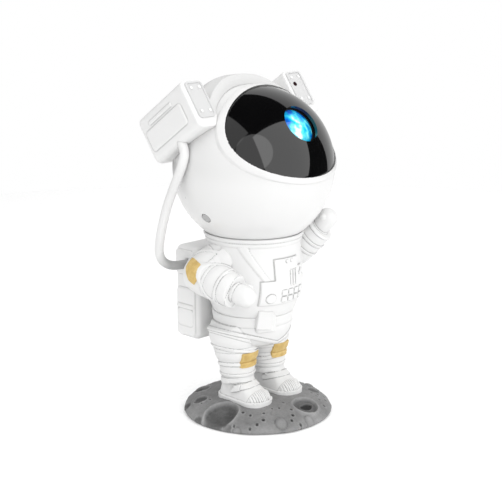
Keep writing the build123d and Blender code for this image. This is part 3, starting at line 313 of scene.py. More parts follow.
def lensCoating():
    # blue coated glass over a facetted core, drawn in the lens's own plane; the core's glow is painted light
    # standing for highlights, as the lens is no lamp
    look = lensLook
    finish = Finish("lensCoating", IOR=look["index"], Coat_Weight=1.0, Coat_Roughness=look["coatRoughness"])
    lean = (radians(helmet["lean"]), 0, 0)
    facing = finish.node("ShaderNodeMapping", {"vector_type": "TEXTURE"}, {
        "Vector": finish.place, "Location": onHelmet(*look["middle"]), "Rotation": lean})
    swirl = finish.noiseAt(*look["swirl"], place=facing)
    facets = finish.cellsAt(look["facetScale"], place=facing)
    spread = finish.node("ShaderNodeVectorMath", {"operation": "LENGTH"}, {0: facing}, output="Value")
    paintedGlow = finish.ramp(spread * look["paintedGlowScale"], *look["paintedGlow"])
    depth = swirl + facets * look["facetShare"] - spread * look["rimShift"] + look["middleShift"]
    tint = finish.ramp(depth, *look["tints"])
    finish.feed("Base Color", tint)
    # painted glow: this emission stands for the lens's highlights
    finish.feed("Emission Color", finish.blend(1.0, tint, paintedGlow, "MULTIPLY"))
    finish.feed("Emission Strength", look["glow"])
    finish.feed("Roughness", look["roughness"])
    return finish.material


goldLook = {
    "sheen": 0.1, "mottle": (220.0, 4.0, 0.6), "weaveScale": 1500.0, "roughness": (0.5, 0.2), "relief": 0.0001,
    "tones": ((0.30, (0.50, 0.33, 0.10)), (0.5, (0.60, 0.42, 0.14)), (0.72, (0.68, 0.51, 0.22))),
}


def goldFabric():
    look = goldLook
    finish = Finish("goldPatch", Sheen_Weight=look["sheen"])
    mottle = finish.noiseAt(*look["mottle"])
    weave = finish.cellsAt(look["weaveScale"])
    finish.feed("Base Color", finish.ramp(mottle, *look["tones"]))
    finish.uneven(look["roughness"], weave)
    finish.bump(weave + mottle * 0.5, look["relief"])
    return finish.material


stoneLook = {
    "patches": (38.0, 5.0, 0.6), "specks": (420.0, 4.0, 0.7), "roughness": (0.62, 0.25), "relief": 0.0008,
    # what the tone is made of: broad patches, specks, and the painted shade and highlights that the ground's
    # relief carries
    "shares": (0.32, 0.18, 0.5),
    "tones": ((0.20, 0.02), (0.36, 0.11), (0.5, 0.20), (0.62, 0.29), (0.80, 0.42)),
}


def moonStone():
    look = stoneLook
    finish = Finish("moonStone")
    broad = finish.noiseAt(*look["patches"])
    speck = finish.noiseAt(*look["specks"])
    patchShare, speckShare, paintedShadeShare = look["shares"]
    # the relief mark is painted shade in hollows and pits and painted highlight on rims, lumps and pock rings
    mixture = broad * patchShare + speck * speckShare + finish.mark("relief") * paintedShadeShare
    finish.feed("Base Color", finish.ramp(mixture, *look["tones"]))
    finish.uneven(look["roughness"], speck)
    finish.bump(speck * 0.7 + broad * 0.3, look["relief"])
    return finish.material


plainLook = {"darkTone": 0.85, "sheenSpread": 0.16, "speckScale": 300.0, "detail": 3.0, "relief": 0.00004}


def plainMould(name, tone, roughness, metallic=0.0, scale=plainLook["speckScale"], relief=plainLook["relief"]):
    # even plastic, rubber or metal with faint specks
    spread = plainLook["sheenSpread"]
    finish = Finish(name)
    speck = finish.noiseAt(scale, plainLook["detail"])
    finish.feed("Base Color", finish.blend(speck, [plainLook["darkTone"] * t for t in tone], tone))
    finish.uneven((roughness - spread / 2, spread), speck)
    finish.feed("Metallic", metallic)
    finish.bump(speck, relief)
    return finish.material


boardLook = {
    "lacquer": ((0.01, 0.10, 0.04), (0.012, 0.13, 0.05)), "trace": (0.02, 0.22, 0.09), "traceScale": 260.0,
    "traceWidth": 0.03, "specks": (500.0, 3.0), "roughness": (0.3, 0.2),
}


def circuitBoard():
    look = boardLook
    finish = Finish("circuitBoard")
    darker, lighter = look["lacquer"]
    finish.feed("Base Color", finish.node("ShaderNodeTexBrick", {"offset": 0.5}, {
        "Vector": finish.place, "Scale": look["traceScale"], "Mortar Size": look["traceWidth"],
        "Color1": grey(darker), "Color2": grey(lighter), "Mortar": grey(look["trace"])}))
    finish.uneven(look["roughness"], finish.noiseAt(*look["specks"]))
    return finish.material


rippleLook = {
    "index": 1.49, "clearness": 0.7, "waveScale": 260.0, "roughness": (0.08, 0.1), "relief": 0.0006,
    "troughs": (0.70, 0.84, 0.92), "crests": (0.92, 0.96, 1.0),
}


def rippleGlass():
    look = rippleLook
    finish = Finish("rippleGlass", IOR=look["index"], Transmission_Weight=look["clearness"])
    waves = finish.cellsAt(look["waveScale"], "SMOOTH_F1")
    finish.feed("Base Color", finish.blend(waves, look["troughs"], look["crests"]))
    finish.uneven(look["roughness"], waves)
    finish.bump(waves, look["relief"])
    return finish.material


finishes = {
    "visor_black": visorShell(), "lens_glass": lensCoating(), "gold_patch": goldFabric(),
    "moon_rock": moonStone(), "board_green": circuitBoard(), "ripple_clear": rippleGlass(),
    "suit_white": suitWhite, "suit_trim": trimWhite, "panel_white": trimWhite, "hose_white": hoseWhite,
    "helmet_white": helmetWhite, "pack_white": packWhite, "face_grey": plateGrey,
    "cover_plastic": plainMould("coverPlastic", (0.045, 0.045, 0.048), 0.55),
    "steel": plainMould("plainSteel", (0.56, 0.56, 0.57), 0.32, metallic=1.0),
    "pad_rubber": plainMould("padRubber", (0.02, 0.02, 0.02), 0.8, scale=900.0, relief=0.00012),
    "barrel_black": plainMould("barrelBlack", (0.012, 0.012, 0.012), 0.5),
    "module_grey": plainMould("moduleGrey", (0.08, 0.08, 0.085), 0.5),
    "gear_white": plainMould("gearWhite", (0.72, 0.70, 0.64), 0.4),
    "magnet_metal": plainMould("magnetMetal", (0.60, 0.60, 0.62), 0.18, metallic=1.0),
    "sink_aluminium": plainMould("sinkAluminium", (0.62, 0.63, 0.64), 0.4, metallic=1.0),
    "laser_brass": plainMould("laserBrass", (0.62, 0.43, 0.16), 0.28, metallic=1.0),
    "button_grey": plainMould("buttonGrey", (0.16, 0.165, 0.175), 0.6, scale=700.0),
    "infrared_black": plainMould("infraredBlack", (0.02, 0.004, 0.006), 0.15),
    "swivel_black": plainMould("swivelBlack", (0.03, 0.03, 0.03), 0.45),
}
slotOf = {entry["node"]: entry["material_slot"] for entry in frame["record"]["subparts"]}
for name, body in nodes.items():
    body.data.materials.clear()
    body.data.materials.append(finishes[slotOf[name]])
nodes["pack_rivets"].data.materials[0] = packWhite
# painted shade: the head screws take the dark grey that stands for their recesses' shade
nodes["head_screws"].data.materials[0] = screwRecessShade
print("finishes made")


# ---- shape tools

def objectFrom(bm, name, material, sharpAngle):
    # turns a bmesh into a smooth object, with an edge where faces meet at more than the angle
    data = bpy.data.meshes.new(name)
    bm.to_mesh(data)
    bm.free()
    data.materials.append(material)
    data.shade_smooth()
    data.set_sharp_from_angle(angle=radians(sharpAngle))
    made = bpy.data.objects.new(name, data)
    scene.collection.objects.link(made)
    return made


def baked(made):
    # applies the modifiers of a piece to its mesh
    graph = bpy.context.evaluated_depsgraph_get()
    graph.update()
    fresh = bpy.data.meshes.new_from_object(made.evaluated_get(graph))
    made.modifiers.clear()
    old, made.data = made.data, fresh
    fresh.name = made.name
    bpy.data.meshes.remove(old)


def merged(node):
    # a node's shape, with its loose triangles joined
    bm = bmesh.new()
    bm.from_mesh(nodes[node].data)
    bmesh.ops.remove_doubles(bm, verts=bm.verts, dist=2e-6)
    return bm


def grown(bm, distance):
    # copy of a closed shape with its skin moved out
    copy = bm.copy()
    copy.normal_update()
    for vertex in copy.verts:
        vertex.co += vertex.normal * distance * mm
    return copy


def clipped(bm, *planes):
    # keeps what lies behind each plane (place in mm, direction) and closes the cut
    for place, direction in planes:
        everything = bm.verts[:] + bm.edges[:] + bm.faces[:]
        bmesh.ops.bisect_plane(bm, geom=everything, dist=1e-7, plane_co=point(*place),
                               plane_no=Vector(direction), clear_outer=True)
        bmesh.ops.holes_fill(bm, edges=[edge for edge in bm.edges if edge.is_boundary])
    return bm


def banded(bm, growth, place, direction, width, *limits):
    # a strap or ring on a shape: a slice of its grown skin, so wide across the direction
    way = Vector(direction).normalized()
    ahead = (Vector(place) + way * width / 2, way)
    behind = (Vector(place) - way * width / 2, -way)
    return clipped(grown(bm, growth), ahead, behind, *limits)


def joined(*shapes):
    whole = bmesh.new()
    carrier = bpy.data.meshes.new("carrier")
    for shape in shapes:
        shape.to_mesh(carrier)
        whole.from_mesh(carrier)
        shape.free()
    bpy.data.meshes.remove(carrier)
    return whole


def marked(made, name, values):
    # gives each point of a mesh a value for a finish to read
    made.data.attributes.new(name, "FLOAT", "POINT").data.foreach_set("value", values)


creaseMark = {"rounds": 2, "gain": 2.6, "floor": 0.16}


def creased(made, reach):
    # marks how hollow the skin is at each point: how far its neighbours rise above it, eased a little; the
    # mark is painted shade
    data = made.data
    count = len(data.vertices)
    places = np.empty(count * 3)
    normals = np.empty(count * 3)
    data.vertices.foreach_get("co", places)
    data.vertices.foreach_get("normal", normals)
    places, normals = places.reshape(-1, 3), normals.reshape(-1, 3)
    pairs = np.empty(len(data.edges) * 2, dtype=np.int32)
    data.edges.foreach_get("vertices", pairs)
    first, second = pairs.reshape(-1, 2).T
    gap = places[second] - places[first]
    lift = np.bincount(first, (gap * normals[first]).sum(1), count)
    lift += np.bincount(second, (-gap * normals[second]).sum(1), count)
    span = np.bincount(first, (gap**2).sum(1), count) + np.bincount(second, (gap**2).sum(1), count)
    hollow = lift / np.maximum(span, 1e-12) * reach * mm
    for _ in range(creaseMark["rounds"]):
        spread = np.bincount(first, hollow[second], count) + np.bincount(second, hollow[first], count)
        hollow = 0.5 * hollow + 0.5 * spread / np.maximum(np.bincount(pairs, minlength=count), 1)
    marks = np.clip(hollow * creaseMark["gain"] - creaseMark["floor"], 0.0, 1.0)
    marked(made, "crease", marks.astype(np.float32))


def moulded(name, replaced, material, shape=None, ride="stand", *, voxel, rounds, reach=1.0):
    # one skin over a shape, or over the solids it stands for: remeshed finely, eased, its creases marked for
    # painted shade
    shape = shape or joined(*[merged(node) for node in replaced])
    made = objectFrom(shape, name, material, 180)
    remesh = made.modifiers.new("remesh", "REMESH")
    remesh.mode = "VOXEL"
    remesh.voxel_size = voxel * mm
    remesh.use_smooth_shade = True
    ease = made.modifiers.new("ease", "SMOOTH")
    ease.iterations = rounds
    ease.factor = 0.5
    baked(made)
    made.data.shade_smooth()
    creased(made, reach)
    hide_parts(*replaced)
    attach(made, ride)
    print(name, len(made.data.polygons), "faces")
    return made


def shadedAtFoot(made, node, width):
    # paints shade on the skin along the foot of a node that stands on it
    foot = BVHTree.FromBMesh(merged(node))
    layer = made.data.attributes["crease"].data
    for vertex, mark in zip(made.data.vertices, layer):
        distance = foot.find_nearest(vertex.co, 2 * width * mm)[3]
        if distance is not None:
            mark.value = max(mark.value, 1.0 - distance / (width * mm))


# ---- breathing hoses

hose = {
    "radius": 3.0, "sides": 28,
    # the share of its length that hangs from the head
    "upperShare": 0.34,
    # painted shade beside the backpack, where the hose passes between pack and arm: below this height, and by
    # the distance from the middle plane
    "shadeBelow": 112.0, "shadeFrom": 52.0, "shadeFull": 43.0,
    # right hose, from the ear pack's underside to the backpack's side
    "route": [
        tuple(onHelmet(-53.4, -2.0, 27.0) / mm),
        tuple(onHelmet(-53.4, -2.0, 17.5) / mm),
        (-56.4, 11.9, 174.5), (-56.2, 16.8, 165.5), (-55.0, 23.2, 155.5), (-54.2, 29.2, 145.0),
        (-53.8, 33.8, 133.4), (-52.8, 38.0, 122.2), (-50.4, 42.2, 112.6), (-47.0, 43.7, 105.4),
        (-41.6, 41.8, 101.2), (-35.6, 37.6, 100.9), (-25.6, 37.6, 100.9),
    ],
}


def splinePath(name, route):
    # places along the smooth line that a route steers
    curve = bpy.data.curves.new(name, "CURVE")
    curve.dimensions = "3D"
    curve.resolution_u = 24
    spline = curve.splines.new("NURBS")
    spline.points.add(len(route) - 1)
    for knot, place in zip(spline.points, route):
        knot.co = (*point(*place), 1.0)
    spline.order_u = 3
    spline.use_endpoint_u = True
    carrier = bpy.data.objects.new(name, curve)
    line = bpy.data.meshes.new_from_object(carrier)
    places = [vertex.co.copy() for vertex in line.vertices]
    bpy.data.objects.remove(carrier)
    bpy.data.curves.remove(curve)
    bpy.data.meshes.remove(line)
    return places


def tubeAlong(name, places, material):
    # skins a path: a ring of vertices is carried along it, turned as the path turns
    bm = bmesh.new()
    heading = (places[1] - places[0]).normalized()
    across = heading.orthogonal().normalized()
    previous = None
    for index, place in enumerate(places):
        ahead = places[min(index + 1, len(places) - 1)] - places[max(index - 1, 0)]
        ahead.normalize()
        across = (across - ahead * across.dot(ahead)).normalized()
        spin = Matrix((across, ahead.cross(across), ahead)).transposed().to_4x4()
        ring = bmesh.ops.create_circle(bm, segments=hose["sides"], radius=hose["radius"] * mm,
                                       matrix=Matrix.Translation(place) @ spin)["verts"]
        edges = list({edge for vertex in ring for edge in vertex.link_edges})
        if previous:
            bmesh.ops.bridge_loops(bm, edges=previous + edges)
        previous = edges
    bmesh.ops.holes_fill(bm, edges=[edge for edge in bm.edges if edge.is_boundary])
    bmesh.ops.recalc_face_normals(bm, faces=bm.faces)
    return objectFrom(bm, name, material, 50)


def hoseShadeNearPack(place):
    if place.z >= hose["shadeBelow"] * mm:
        return 0.0
    return share(abs(place.x) / mm, hose["shadeFrom"], hose["shadeFull"])


for side, sign in sides:
    places = splinePath(side + "HoseLine", [mirrored(place, sign) for place in hose["route"]])
    lengths = [0.0]
    for before, after in zip(places, places[1:]):
        lengths.append(lengths[-1] + (after - before).length)
    cut = min(range(len(places)), key=lambda index: abs(lengths[index] - hose["upperShare"] * lengths[-1]))
    joint = places[cut]
    for part, piece, pair, start, end, span in (
        ("Upper", places[:cut + 1], ("head", "neck"), places[0], joint, lengths[cut]),
        ("Lower", places[cut:], ("neck", "stand"), joint, places[-1], lengths[-1] - lengths[cut]),
    ):
        tube = tubeAlong(side + "Hose" + part, piece, hoseWhite)
        # painted shade on the hose where it runs beside the backpack
        marked(tube, "crease", [hoseShadeNearPack(vertex.co) for vertex in tube.data.vertices])
        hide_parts(side + "_hose")
        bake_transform(tube)
        2 * hose["radius"] * mm
print("hoses laid")


# ---- moon ground

ground = {
    "height": 12.4, "fall": 1.35e-6, "reach": 46.0, "spokes": 560, "rings": 115, "ringGap": 0.4,
    # edge and underside as radius and height
    "edge": ((46.0, 6.35), (46.9, 5.7), (47.8, 5.05), (48.7, 4.35), (49.5, 3.7), (50.2, 3.0), (50.6, 2.3),
             (50.6, 1.6), (50.2, 0.9), (49.6, 0.4)),
    "underside": ((47.0, 0.4), (44.2, 0.4), (44.2, 2.7), (36.2, 2.7), (36.2, 5.7), (0.0, 5.7)),
    # nothing moves below the foot, and the edge takes up the relief between these heights
    "foot": 0.5, "edgeRise": (0.9, 6.3),
    "ripple": {"scale": 0.06, "height": 0.7}, "grain": {"scale": 0.5, "height": 0.15},
    # the outline wavers in and out, more from the first of these radii to the second
    "waver": {"scale": 0.05, "height": 0.9, "shift": (7, 3, 1)},
    "waverInset": 0.2, "waverReach": (36.0, 48.0),
    # hollows: x, y, radius along the spoke, radius across it, depth, rim
    "hollows": (
        (-41.0, -5.0, 13.0, 11.6, 3.9, 1.0), (6.5, -37.5, 8.6, 10.4, 1.5, 1.5),
        (7.0, -37.8, 3.6, 6.2, 1.2, 0.7), (-33.0, 22.0, 5.0, 5.0, 1.8, 0.8),
        (38.0, 14.0, 7.5, 7.5, 2.4, 1.0), (34.0, -21.0, 4.4, 4.4, 1.2, 0.6),
        (-17.0, 37.0, 6.0, 6.0, 1.8, 0.9), (17.0, 38.0, 4.6, 4.6, 1.5, 0.8),
        (-38.5, 30.5, 3.2, 4.6, 1.6, 0.5), (-50.0, 8.0, 2.6, 4.0, 1.4, 0.4),
        (44.0, 2.0, 3.0, 3.0, 0.9, 0.5), (-47.0, -16.5, 2.0, 3.4, 0.8, 0.3),
    ),
    # how round a hollow's floor is, and, in its radii, how wide its rim is and how soon its shade sets in
    "hollowRound": 0.8, "rimWidth": 0.10, "shadeWidth": 0.2,
    # lumps: x, y, radius, height; each has a painted shade round its foot at so many radii
    "lumpFoot": 1.05,
    "lumps": ((-21.5, -41.0, 3.8, 2.0), (-2.0, -49.0, 3.2, 1.9), (44.0, -9.0, 3.4, 1.0),
              (-46.0, -24.0, 3.0, 0.8), (30.0, 33.0, 4.0, 1.2)),
    # pocks, each a small ring round a pit: x, y, radius
    "pocks": (
        (-32.5, -17.2, 1.0), (-31.5, -22.9, 0.9), (-23.9, -27.7, 0.95), (-29.0, -32.2, 1.15),
        (-34.2, -31.4, 1.05), (-39.0, -29.6, 0.95), (-44.0, -20.0, 0.8), (-4.6, -27.6, 1.0),
        (-12.1, -30.6, 0.8), (-7.2, -37.0, 0.95), (-10.5, -41.3, 1.1), (-14.1, -43.6, 0.95),
        (-10.5, -48.5, 1.05), (-16.1, -28.0, 0.7), (-31.0, 15.0, 0.9), (-37.0, 17.0, 0.8),
        (27.0, -30.0, 1.0), (31.0, -27.5, 1.1), (24.0, -35.0, 0.9), (37.5, -15.0, 1.0),
        (40.5, -20.0, 1.1), (30.0, -35.5, 1.0), (43.0, -3.0, 0.9), (22.0, -41.0, 0.95),
        (35.0, -30.5, 0.9), (27.5, -25.0, 0.9), (33.5, -24.0, 0.8), (41.0, -13.0, 0.9),
        (44.5, -14.5, 0.8), (38.5, -24.5, 0.8),
    ),
    # a pock's ring and pit, each as place, width and height in its radii, then as place, width and painted
    # tone: a highlight on the ring, shade in the pit
    "pockScale": 1.25, "pockReach": 2.5,
    "pockHeights": ((0.9, 0.3, 0.55), (0.0, 0.6, -0.75)), "pockShadeAndHighlight": ((1.1, 0.3, 0.25), (0.0, 0.75, -0.75)),
    # how much lighter or darker each feature paints the plain stone: painted shade in hollows and round lump
    # feet, painted highlights on rims and lumps, and a lighter low edge
    "plainTone": 0.5, "hollowShade": -0.34, "rimHighlight": 0.20, "lumpHighlight": 0.10, "lumpFootShade": -0.22,
    "lowEdgeTone": 0.14,
}


def bell(offset, width):
    return exp(-(offset / width) ** 2)


def bells(offset, swells):
    return sum(height * bell(offset - place, width) for place, width, height in swells)


def groundLevel(x, y):
    # height of the ground, and the shade and highlights painted into its stone there
    reach = min(hypot(x, y), ground["reach"])
    level, tone = ground["height"] - ground["fall"] * reach**4, ground["plainTone"]
    for cx, cy, along, across, depth, rim in ground["hollows"]:
        spoke, away = Vector((cx, cy)).normalized(), Vector((x - cx, y - cy))
        inside = hypot(away.dot(spoke) / along, away.dot(Vector((-spoke.y, spoke.x))) / across)
        lip = bell(inside - 1.0, ground["rimWidth"])
        if inside < 1.0:
            level -= depth * (1 - inside**2) ** ground["hollowRound"]
            tone += ground["hollowShade"] * share(inside, 1.0, 1.0 - ground["shadeWidth"]) * min(1.0, depth)
        level += rim * lip
        tone += ground["rimHighlight"] * lip * min(1.0, rim)
    for cx, cy, radius, height in ground["lumps"]:
        inside = hypot(x - cx, y - cy) / radius
        if inside < 1.0:
            level += height * sqrt(1 - inside**2)
        tone += ground["lumpHighlight"] * max(0.0, 1 - inside)
        tone += ground["lumpFootShade"] * bell(inside - ground["lumpFoot"], ground["rimWidth"])
    for cx, cy, radius in ground["pocks"]:
        inside = hypot(x - cx, y - cy) / (radius * ground["pockScale"])
        if inside < ground["pockReach"]:
            level += radius * bells(inside, ground["pockHeights"])
            tone += bells(inside, ground["pockShadeAndHighlight"])
    return level, tone


def unevenness(place, scale, height, shift=(0, 0, 0)):
    return height * noise.fractal(Vector(place) * scale + Vector(shift), 1.0, 2.0, 3)


def turned(profile, steps):
    # solid of revolution about +Z from (radius, height) pairs in mm
    bm = bmesh.new()
    chain = [bm.verts.new(point(r, 0, h)) for r, h in profile]
    for a, b in zip(chain, chain[1:]):
        bm.edges.new((a, b))
    bmesh.ops.spin(bm, geom=bm.verts[:] + bm.edges[:], cent=(0, 0, 0), axis=(0, 0, 1), angle=2 * pi,
                   steps=steps, use_merge=True)
    bmesh.ops.remove_doubles(bm, verts=bm.verts, dist=1e-6)
    bmesh.ops.recalc_face_normals(bm, faces=bm.faces)
    return bm


topLine = [(ring * ground["ringGap"], ground["height"]) for ring in range(ground["rings"])]
moon = turned([*topLine, *ground["edge"], *ground["underside"]], ground["spokes"])
# painted shade and highlight of the stone at each point
tones = []
crown = ground["height"] - ground["fall"] * ground["reach"] ** 4
for vertex in moon.verts:
    x, y, z = vertex.co / mm
    reach = hypot(x, y)
    onEdge = reach > ground["reach"] - ground["ringGap"] / 4
    if z < ground["foot"] or z < crown and not onEdge:
        tones.append(ground["plainTone"])
        continue
    level, tone = groundLevel(x, y)
    ripple = unevenness((x, y, 0), **ground["ripple"])
    grain = unevenness((x, y, z), **ground["grain"])
    if onEdge:
        rise = share(z, *ground["edgeRise"])
        vertex.co.z += (level - crown + ripple + grain) * rise * mm
        tone += ground["lowEdgeTone"] * (1 - rise)
    else:
        vertex.co.z = (level + ripple + grain) * mm
    push = unevenness((x, y, 0), **ground["waver"]) - ground["waverInset"]
    vertex.co.xy *= 1 + push * share(reach, *ground["waverReach"]) / max(reach, 1.0)
    tones.append(tone)
moonGround = objectFrom(moon, "moonGround", finishes["moon_rock"], 60)
# the relief mark carries the painted shade and highlights
marked(moonGround, "relief", tones)
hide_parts("moon_base")
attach(moonGround, "stand")
print("ground made,", len(moonGround.data.polygons), "faces")


# ---- sleeves and elbow patches

sleeve = {
    "skin": {"voxel": 0.30, "rounds": 3}, "ringGrowth": 0.75,
    # the cone that covers the pleats of the right upper arm: start along the arm, length, two radii
    "taper": (10.5, 13.0, 15.0, 13.0),
    # shoulder, elbow, wrist
    "joints": {"right": ((-18.0, 5.5, 109.5), (-36.0, 16.2, 98.7), (-37.5, -15.5, 92.6)),
               "left": ((17.0, 5.0, 109.0), (33.0, -3.6, 107.2), (38.8, -21.4, 124.4))},
    # rings: upper arm 1, forearm -1 or both 0, then a point, the way through it and its width
    "rings": {
        "right": (
            (1, (-33.9, 3.0, 112.5), (-0.957, -0.234, -0.168), 1.4),
            (0, (-42.4, 3.3, 105.1), (0.63, 0.682, -0.371), 1.5),
            (-1, (-42.8, -7.8, 99.2), (0.172, -0.94, -0.294), 1.7),
            (-1, (-38.7, -16.2, 95.3), (0.278, -0.906, -0.318), 2.6),
        ),
        "left": (
            (1, (26.5, -0.1, 107.9), (0.87, -0.47, -0.10), 1.5),
            (-1, (35.1, -10.1, 113.5), (0.23, -0.70, 0.68), 1.6),
            (-1, (36.9, -15.4, 118.6), (0.23, -0.70, 0.68), 1.6),
            (-1, (38.7, -21.0, 124.1), (0.23, -0.70, 0.68), 2.2),
        ),
    },
}
elbowPatch = {
    "skin": {"voxel": 0.25, "rounds": 2}, "growth": 0.7,
    # facing, upright, and corners as degrees aside and up, seen from outside
    "right": ((-0.905, -0.233, 0.37), (0.215, 0.507, 0.839),
              ((0, 52), (28, 10), (16, -23), (-6, -36), (-24, -20), (-24, 22))),
    "left": ((0.80, 0.55, -0.25), (0.30, 0.0, 0.95),
             ((0, 34), (28, 16), (26, -16), (0, -34), (-26, -16), (-28, 16))),
}


def upperTaper(shoulder, elbow):
    start, length, wide, narrow = sleeve["taper"]
    way = (Vector(elbow) - Vector(shoulder)).normalized()
    middle = Matrix.Translation(point(*shoulder) + way * (start + length / 2) * mm)
    taper = bmesh.new()
    bmesh.ops.create_cone(taper, cap_ends=True, segments=64, radius1=wide * mm, radius2=narrow * mm,
                          depth=length * mm, matrix=middle @ way.to_track_quat("Z", "Y").to_matrix().to_4x4())
    return taper


def towards(facing, upright, aside, up):
    # direction so many degrees aside and up from the facing one
    facing = Vector(facing).normalized()
    across = -facing.cross(Vector(upright)).normalized()
    top = facing.cross(across)
    return facing + across * tan(radians(aside)) + top * tan(radians(up))


def patchOn(arm, side, elbow):
    # the arm's grown skin inside the pyramid from the elbow through the patch's corners
    facing, upright, corners = elbowPatch[side]
    rays = [towards(facing, upright, *corner) for corner in corners]
    centre = sum(rays, Vector()) / len(rays)
    cuts = []
    for first, second in zip(rays, rays[1:] + rays[:1]):
        outward = first.cross(second)
        cuts.append((elbow, -outward if outward.dot(centre) > 0 else outward))
    return clipped(grown(arm, elbowPatch["growth"]), *cuts, (elbow, -Vector(facing)))


def makeSleeve(side):
    shoulder, elbow, wrist = sleeve["joints"][side]
    arm = merged(side + "_arm")
    bend = (Vector(elbow) - Vector(shoulder)).normalized() + (Vector(wrist) - Vector(elbow)).normalized()
    parts = [arm.copy()]
    if side == "right":
        parts.append(upperTaper(shoulder, elbow))
    for half, middle, way, width in sleeve["rings"][side]:
        # the plane through the bend keeps the ring off the other half of the arm
        limits = [(elbow, bend * half)] if half else []
        parts.append(banded(arm, sleeve["ringGrowth"], middle, way, width, *limits))
    patch = patchOn(arm, side, elbow)
    arm.free()
    moulded(side + "Sleeve", [side + "_arm"], suitWhite, joined(*parts), **sleeve["skin"])
    moulded(side + "ElbowPatch", ["elbow_patches"], finishes["gold_patch"], patch, **elbowPatch["skin"])


# ---- trousers, hips and torso

trouser = {
    "skin": {"voxel": 0.30, "rounds": 3}, "ringGrowth": 0.75,
    # rings: a point, the way through it, its width
    "rings": (((-25.2, -0.5, 48.0), (0.18, 0.0, 0.98), 1.7), ((-25.6, 3.1, 37.0), (0.118, 0.125, 0.985), 2.0),
              ((-21.0, -1.0, 29.6), (0.0, 0.05, 1.0), 1.9)),
    # the ring round the thigh runs on over the hips
    "thighGrowth": 1.0, "thighRing": ((-25.85, -1.8, 59.6), (0.34, 0.02, 0.94), 2.1),
}
hips = {"skin": {"voxel": 0.40, "rounds": 3, "reach": 1.4}}
torso = {"skin": {"voxel": 0.54, "rounds": 1, "reach": 1.5}, "panelShadeWidth": 0.9}
chest = {"skin": {"voxel": 0.26, "rounds": 1, "reach": 1.2}}
buckle = {
    "skin": {"voxel": 0.22, "rounds": 3}, "node": "belt_buckle",
    # size factors, turn and shift of the buckle, which faces so many degrees off the front
    "size": (0.82, 1.3, 1.08), "turn": 8, "shift": (-1.2, 0.3, 3.0), "facing": -28,
    # the node itself, sunk by this much, fills its seat under the larger buckle
    "seat": (0.6, 1.1, 0),
}


def thighRingOn(shape, sign, *limits):
    place, way, width = trouser["thighRing"]
    return banded(shape, trouser["thighGrowth"], mirrored(place, sign), mirrored(way, sign), width, *limits)


def makeTrouser(side, sign):
    leg = merged(side + "_leg")
    parts = [leg.copy(), thighRingOn(leg, sign)]
    for middle, way, width in trouser["rings"]:
        parts.append(banded(leg, trouser["ringGrowth"], mirrored(middle, sign), mirrored(way, sign), width))
    leg.free()
    moulded(side + "Trouser", [side + "_leg"], suitWhite, joined(*parts), **trouser["skin"])


def makeHips():
    shape = merged("hips")
    seat = merged(buckle["node"])
    bmesh.ops.translate(seat, verts=seat.verts, vec=point(*buckle["seat"]))
    parts = [shape.copy(), merged("belt"), seat]
    for _, sign in sides:
        # each ring stays on its own side of the middle plane
        parts.append(thighRingOn(shape, sign, ((0, 0, 0), (-sign, 0, 0))))
    shape.free()
    moulded("suitHips", ["hips", "belt"], suitWhite, joined(*parts), **hips["skin"])


def makeBuckle():
    shape = merged(buckle["node"])
    middle = sum((vertex.co for vertex in shape.verts), Vector()) / len(shape.verts)
    facing = Matrix.Rotation(radians(buckle["facing"]), 4, "Z")
    turn = Matrix.Rotation(radians(buckle["turn"]), 3, "Y")
    bmesh.ops.translate(shape, verts=shape.verts, vec=-middle)
    bmesh.ops.transform(shape, verts=shape.verts, matrix=facing.inverted())
    bmesh.ops.scale(shape, verts=shape.verts, vec=buckle["size"])
    bmesh.ops.rotate(shape, verts=shape.verts, matrix=turn)
    bmesh.ops.transform(shape, verts=shape.verts, matrix=facing)
    bmesh.ops.translate(shape, verts=shape.verts, vec=middle + point(*buckle["shift"]))
    moulded("suitBuckle", [buckle["node"]], trimWhite, shape, **buckle["skin"])


for side, sign in sides:
    makeSleeve(side)
    makeTrouser(side, sign)
makeHips()
suitTorso = moulded("suitTorso", ["torso", "collar_ring", "harness_straps"], suitWhite, **torso["skin"])
# painted shade on the torso round the foot of the chest panel
shadedAtFoot(suitTorso, "chest_panel", torso["panelShadeWidth"])
moulded("chestPlate", ["chest_panel", "chest_keys"], suitWhite, **chest["skin"])
makeBuckle()
print("suit made")


# ---- boots

boot = {
    "skin": {"voxel": 0.28, "rounds": 2}, "toeScale": 0.955,
    # each band: growth, middle, way through it, width, and the planes that end it
    "bands": (
        # edge of the sole
        (0.75, (-15.2, 0.0, 12.2), (0.0, 0.0, 1.0), 3.4, ()),
        # ankle strap and its tab
        (0.70, (-20.2, -1.5, 26.2), (0.0, 0.16, 0.987), 3.4, ()),
        (1.35, (-20.2, -1.5, 26.2), (0.0, 0.16, 0.987), 3.6, (
            ((-20.0, 8.4, 0), (0, 1, 0)), ((-20.0, 1.1, 0), (0, -1, 0)), ((-19.0, 0, 0), (1, 0, 0)))),
        # instep strap and its tab
        (0.75, (-19.6, -7.3, 22.5), (-0.04, 0.32, 0.945), 3.3, (((-20.0, 0.4, 0), (0, 1, 0)),)),
        (1.60, (-23.5, -3.7, 21.3), (-0.04, 0.30, 0.95), 4.2, (
            ((-20.0, 0.6, 0), (0, 1, 0)), ((-20.0, -7.0, 0), (0, -1, 0)), ((-19.5, 0, 0), (1, 0, 0)))),
    ),
    # the toe cap lies before one plane and above another, and the ribs run over it
    "capGrowth": 0.45, "cap": (((-19.7, -16.8, 18.5), (0.0, 0.94, 0.306)), ((0, 0, 14.0), (0, 0, -1))),
    "ribs": 13, "ribGrowth": 0.95, "ribWidth": 0.72, "firstRib": -24.0, "ribPitch": 1.47,
}


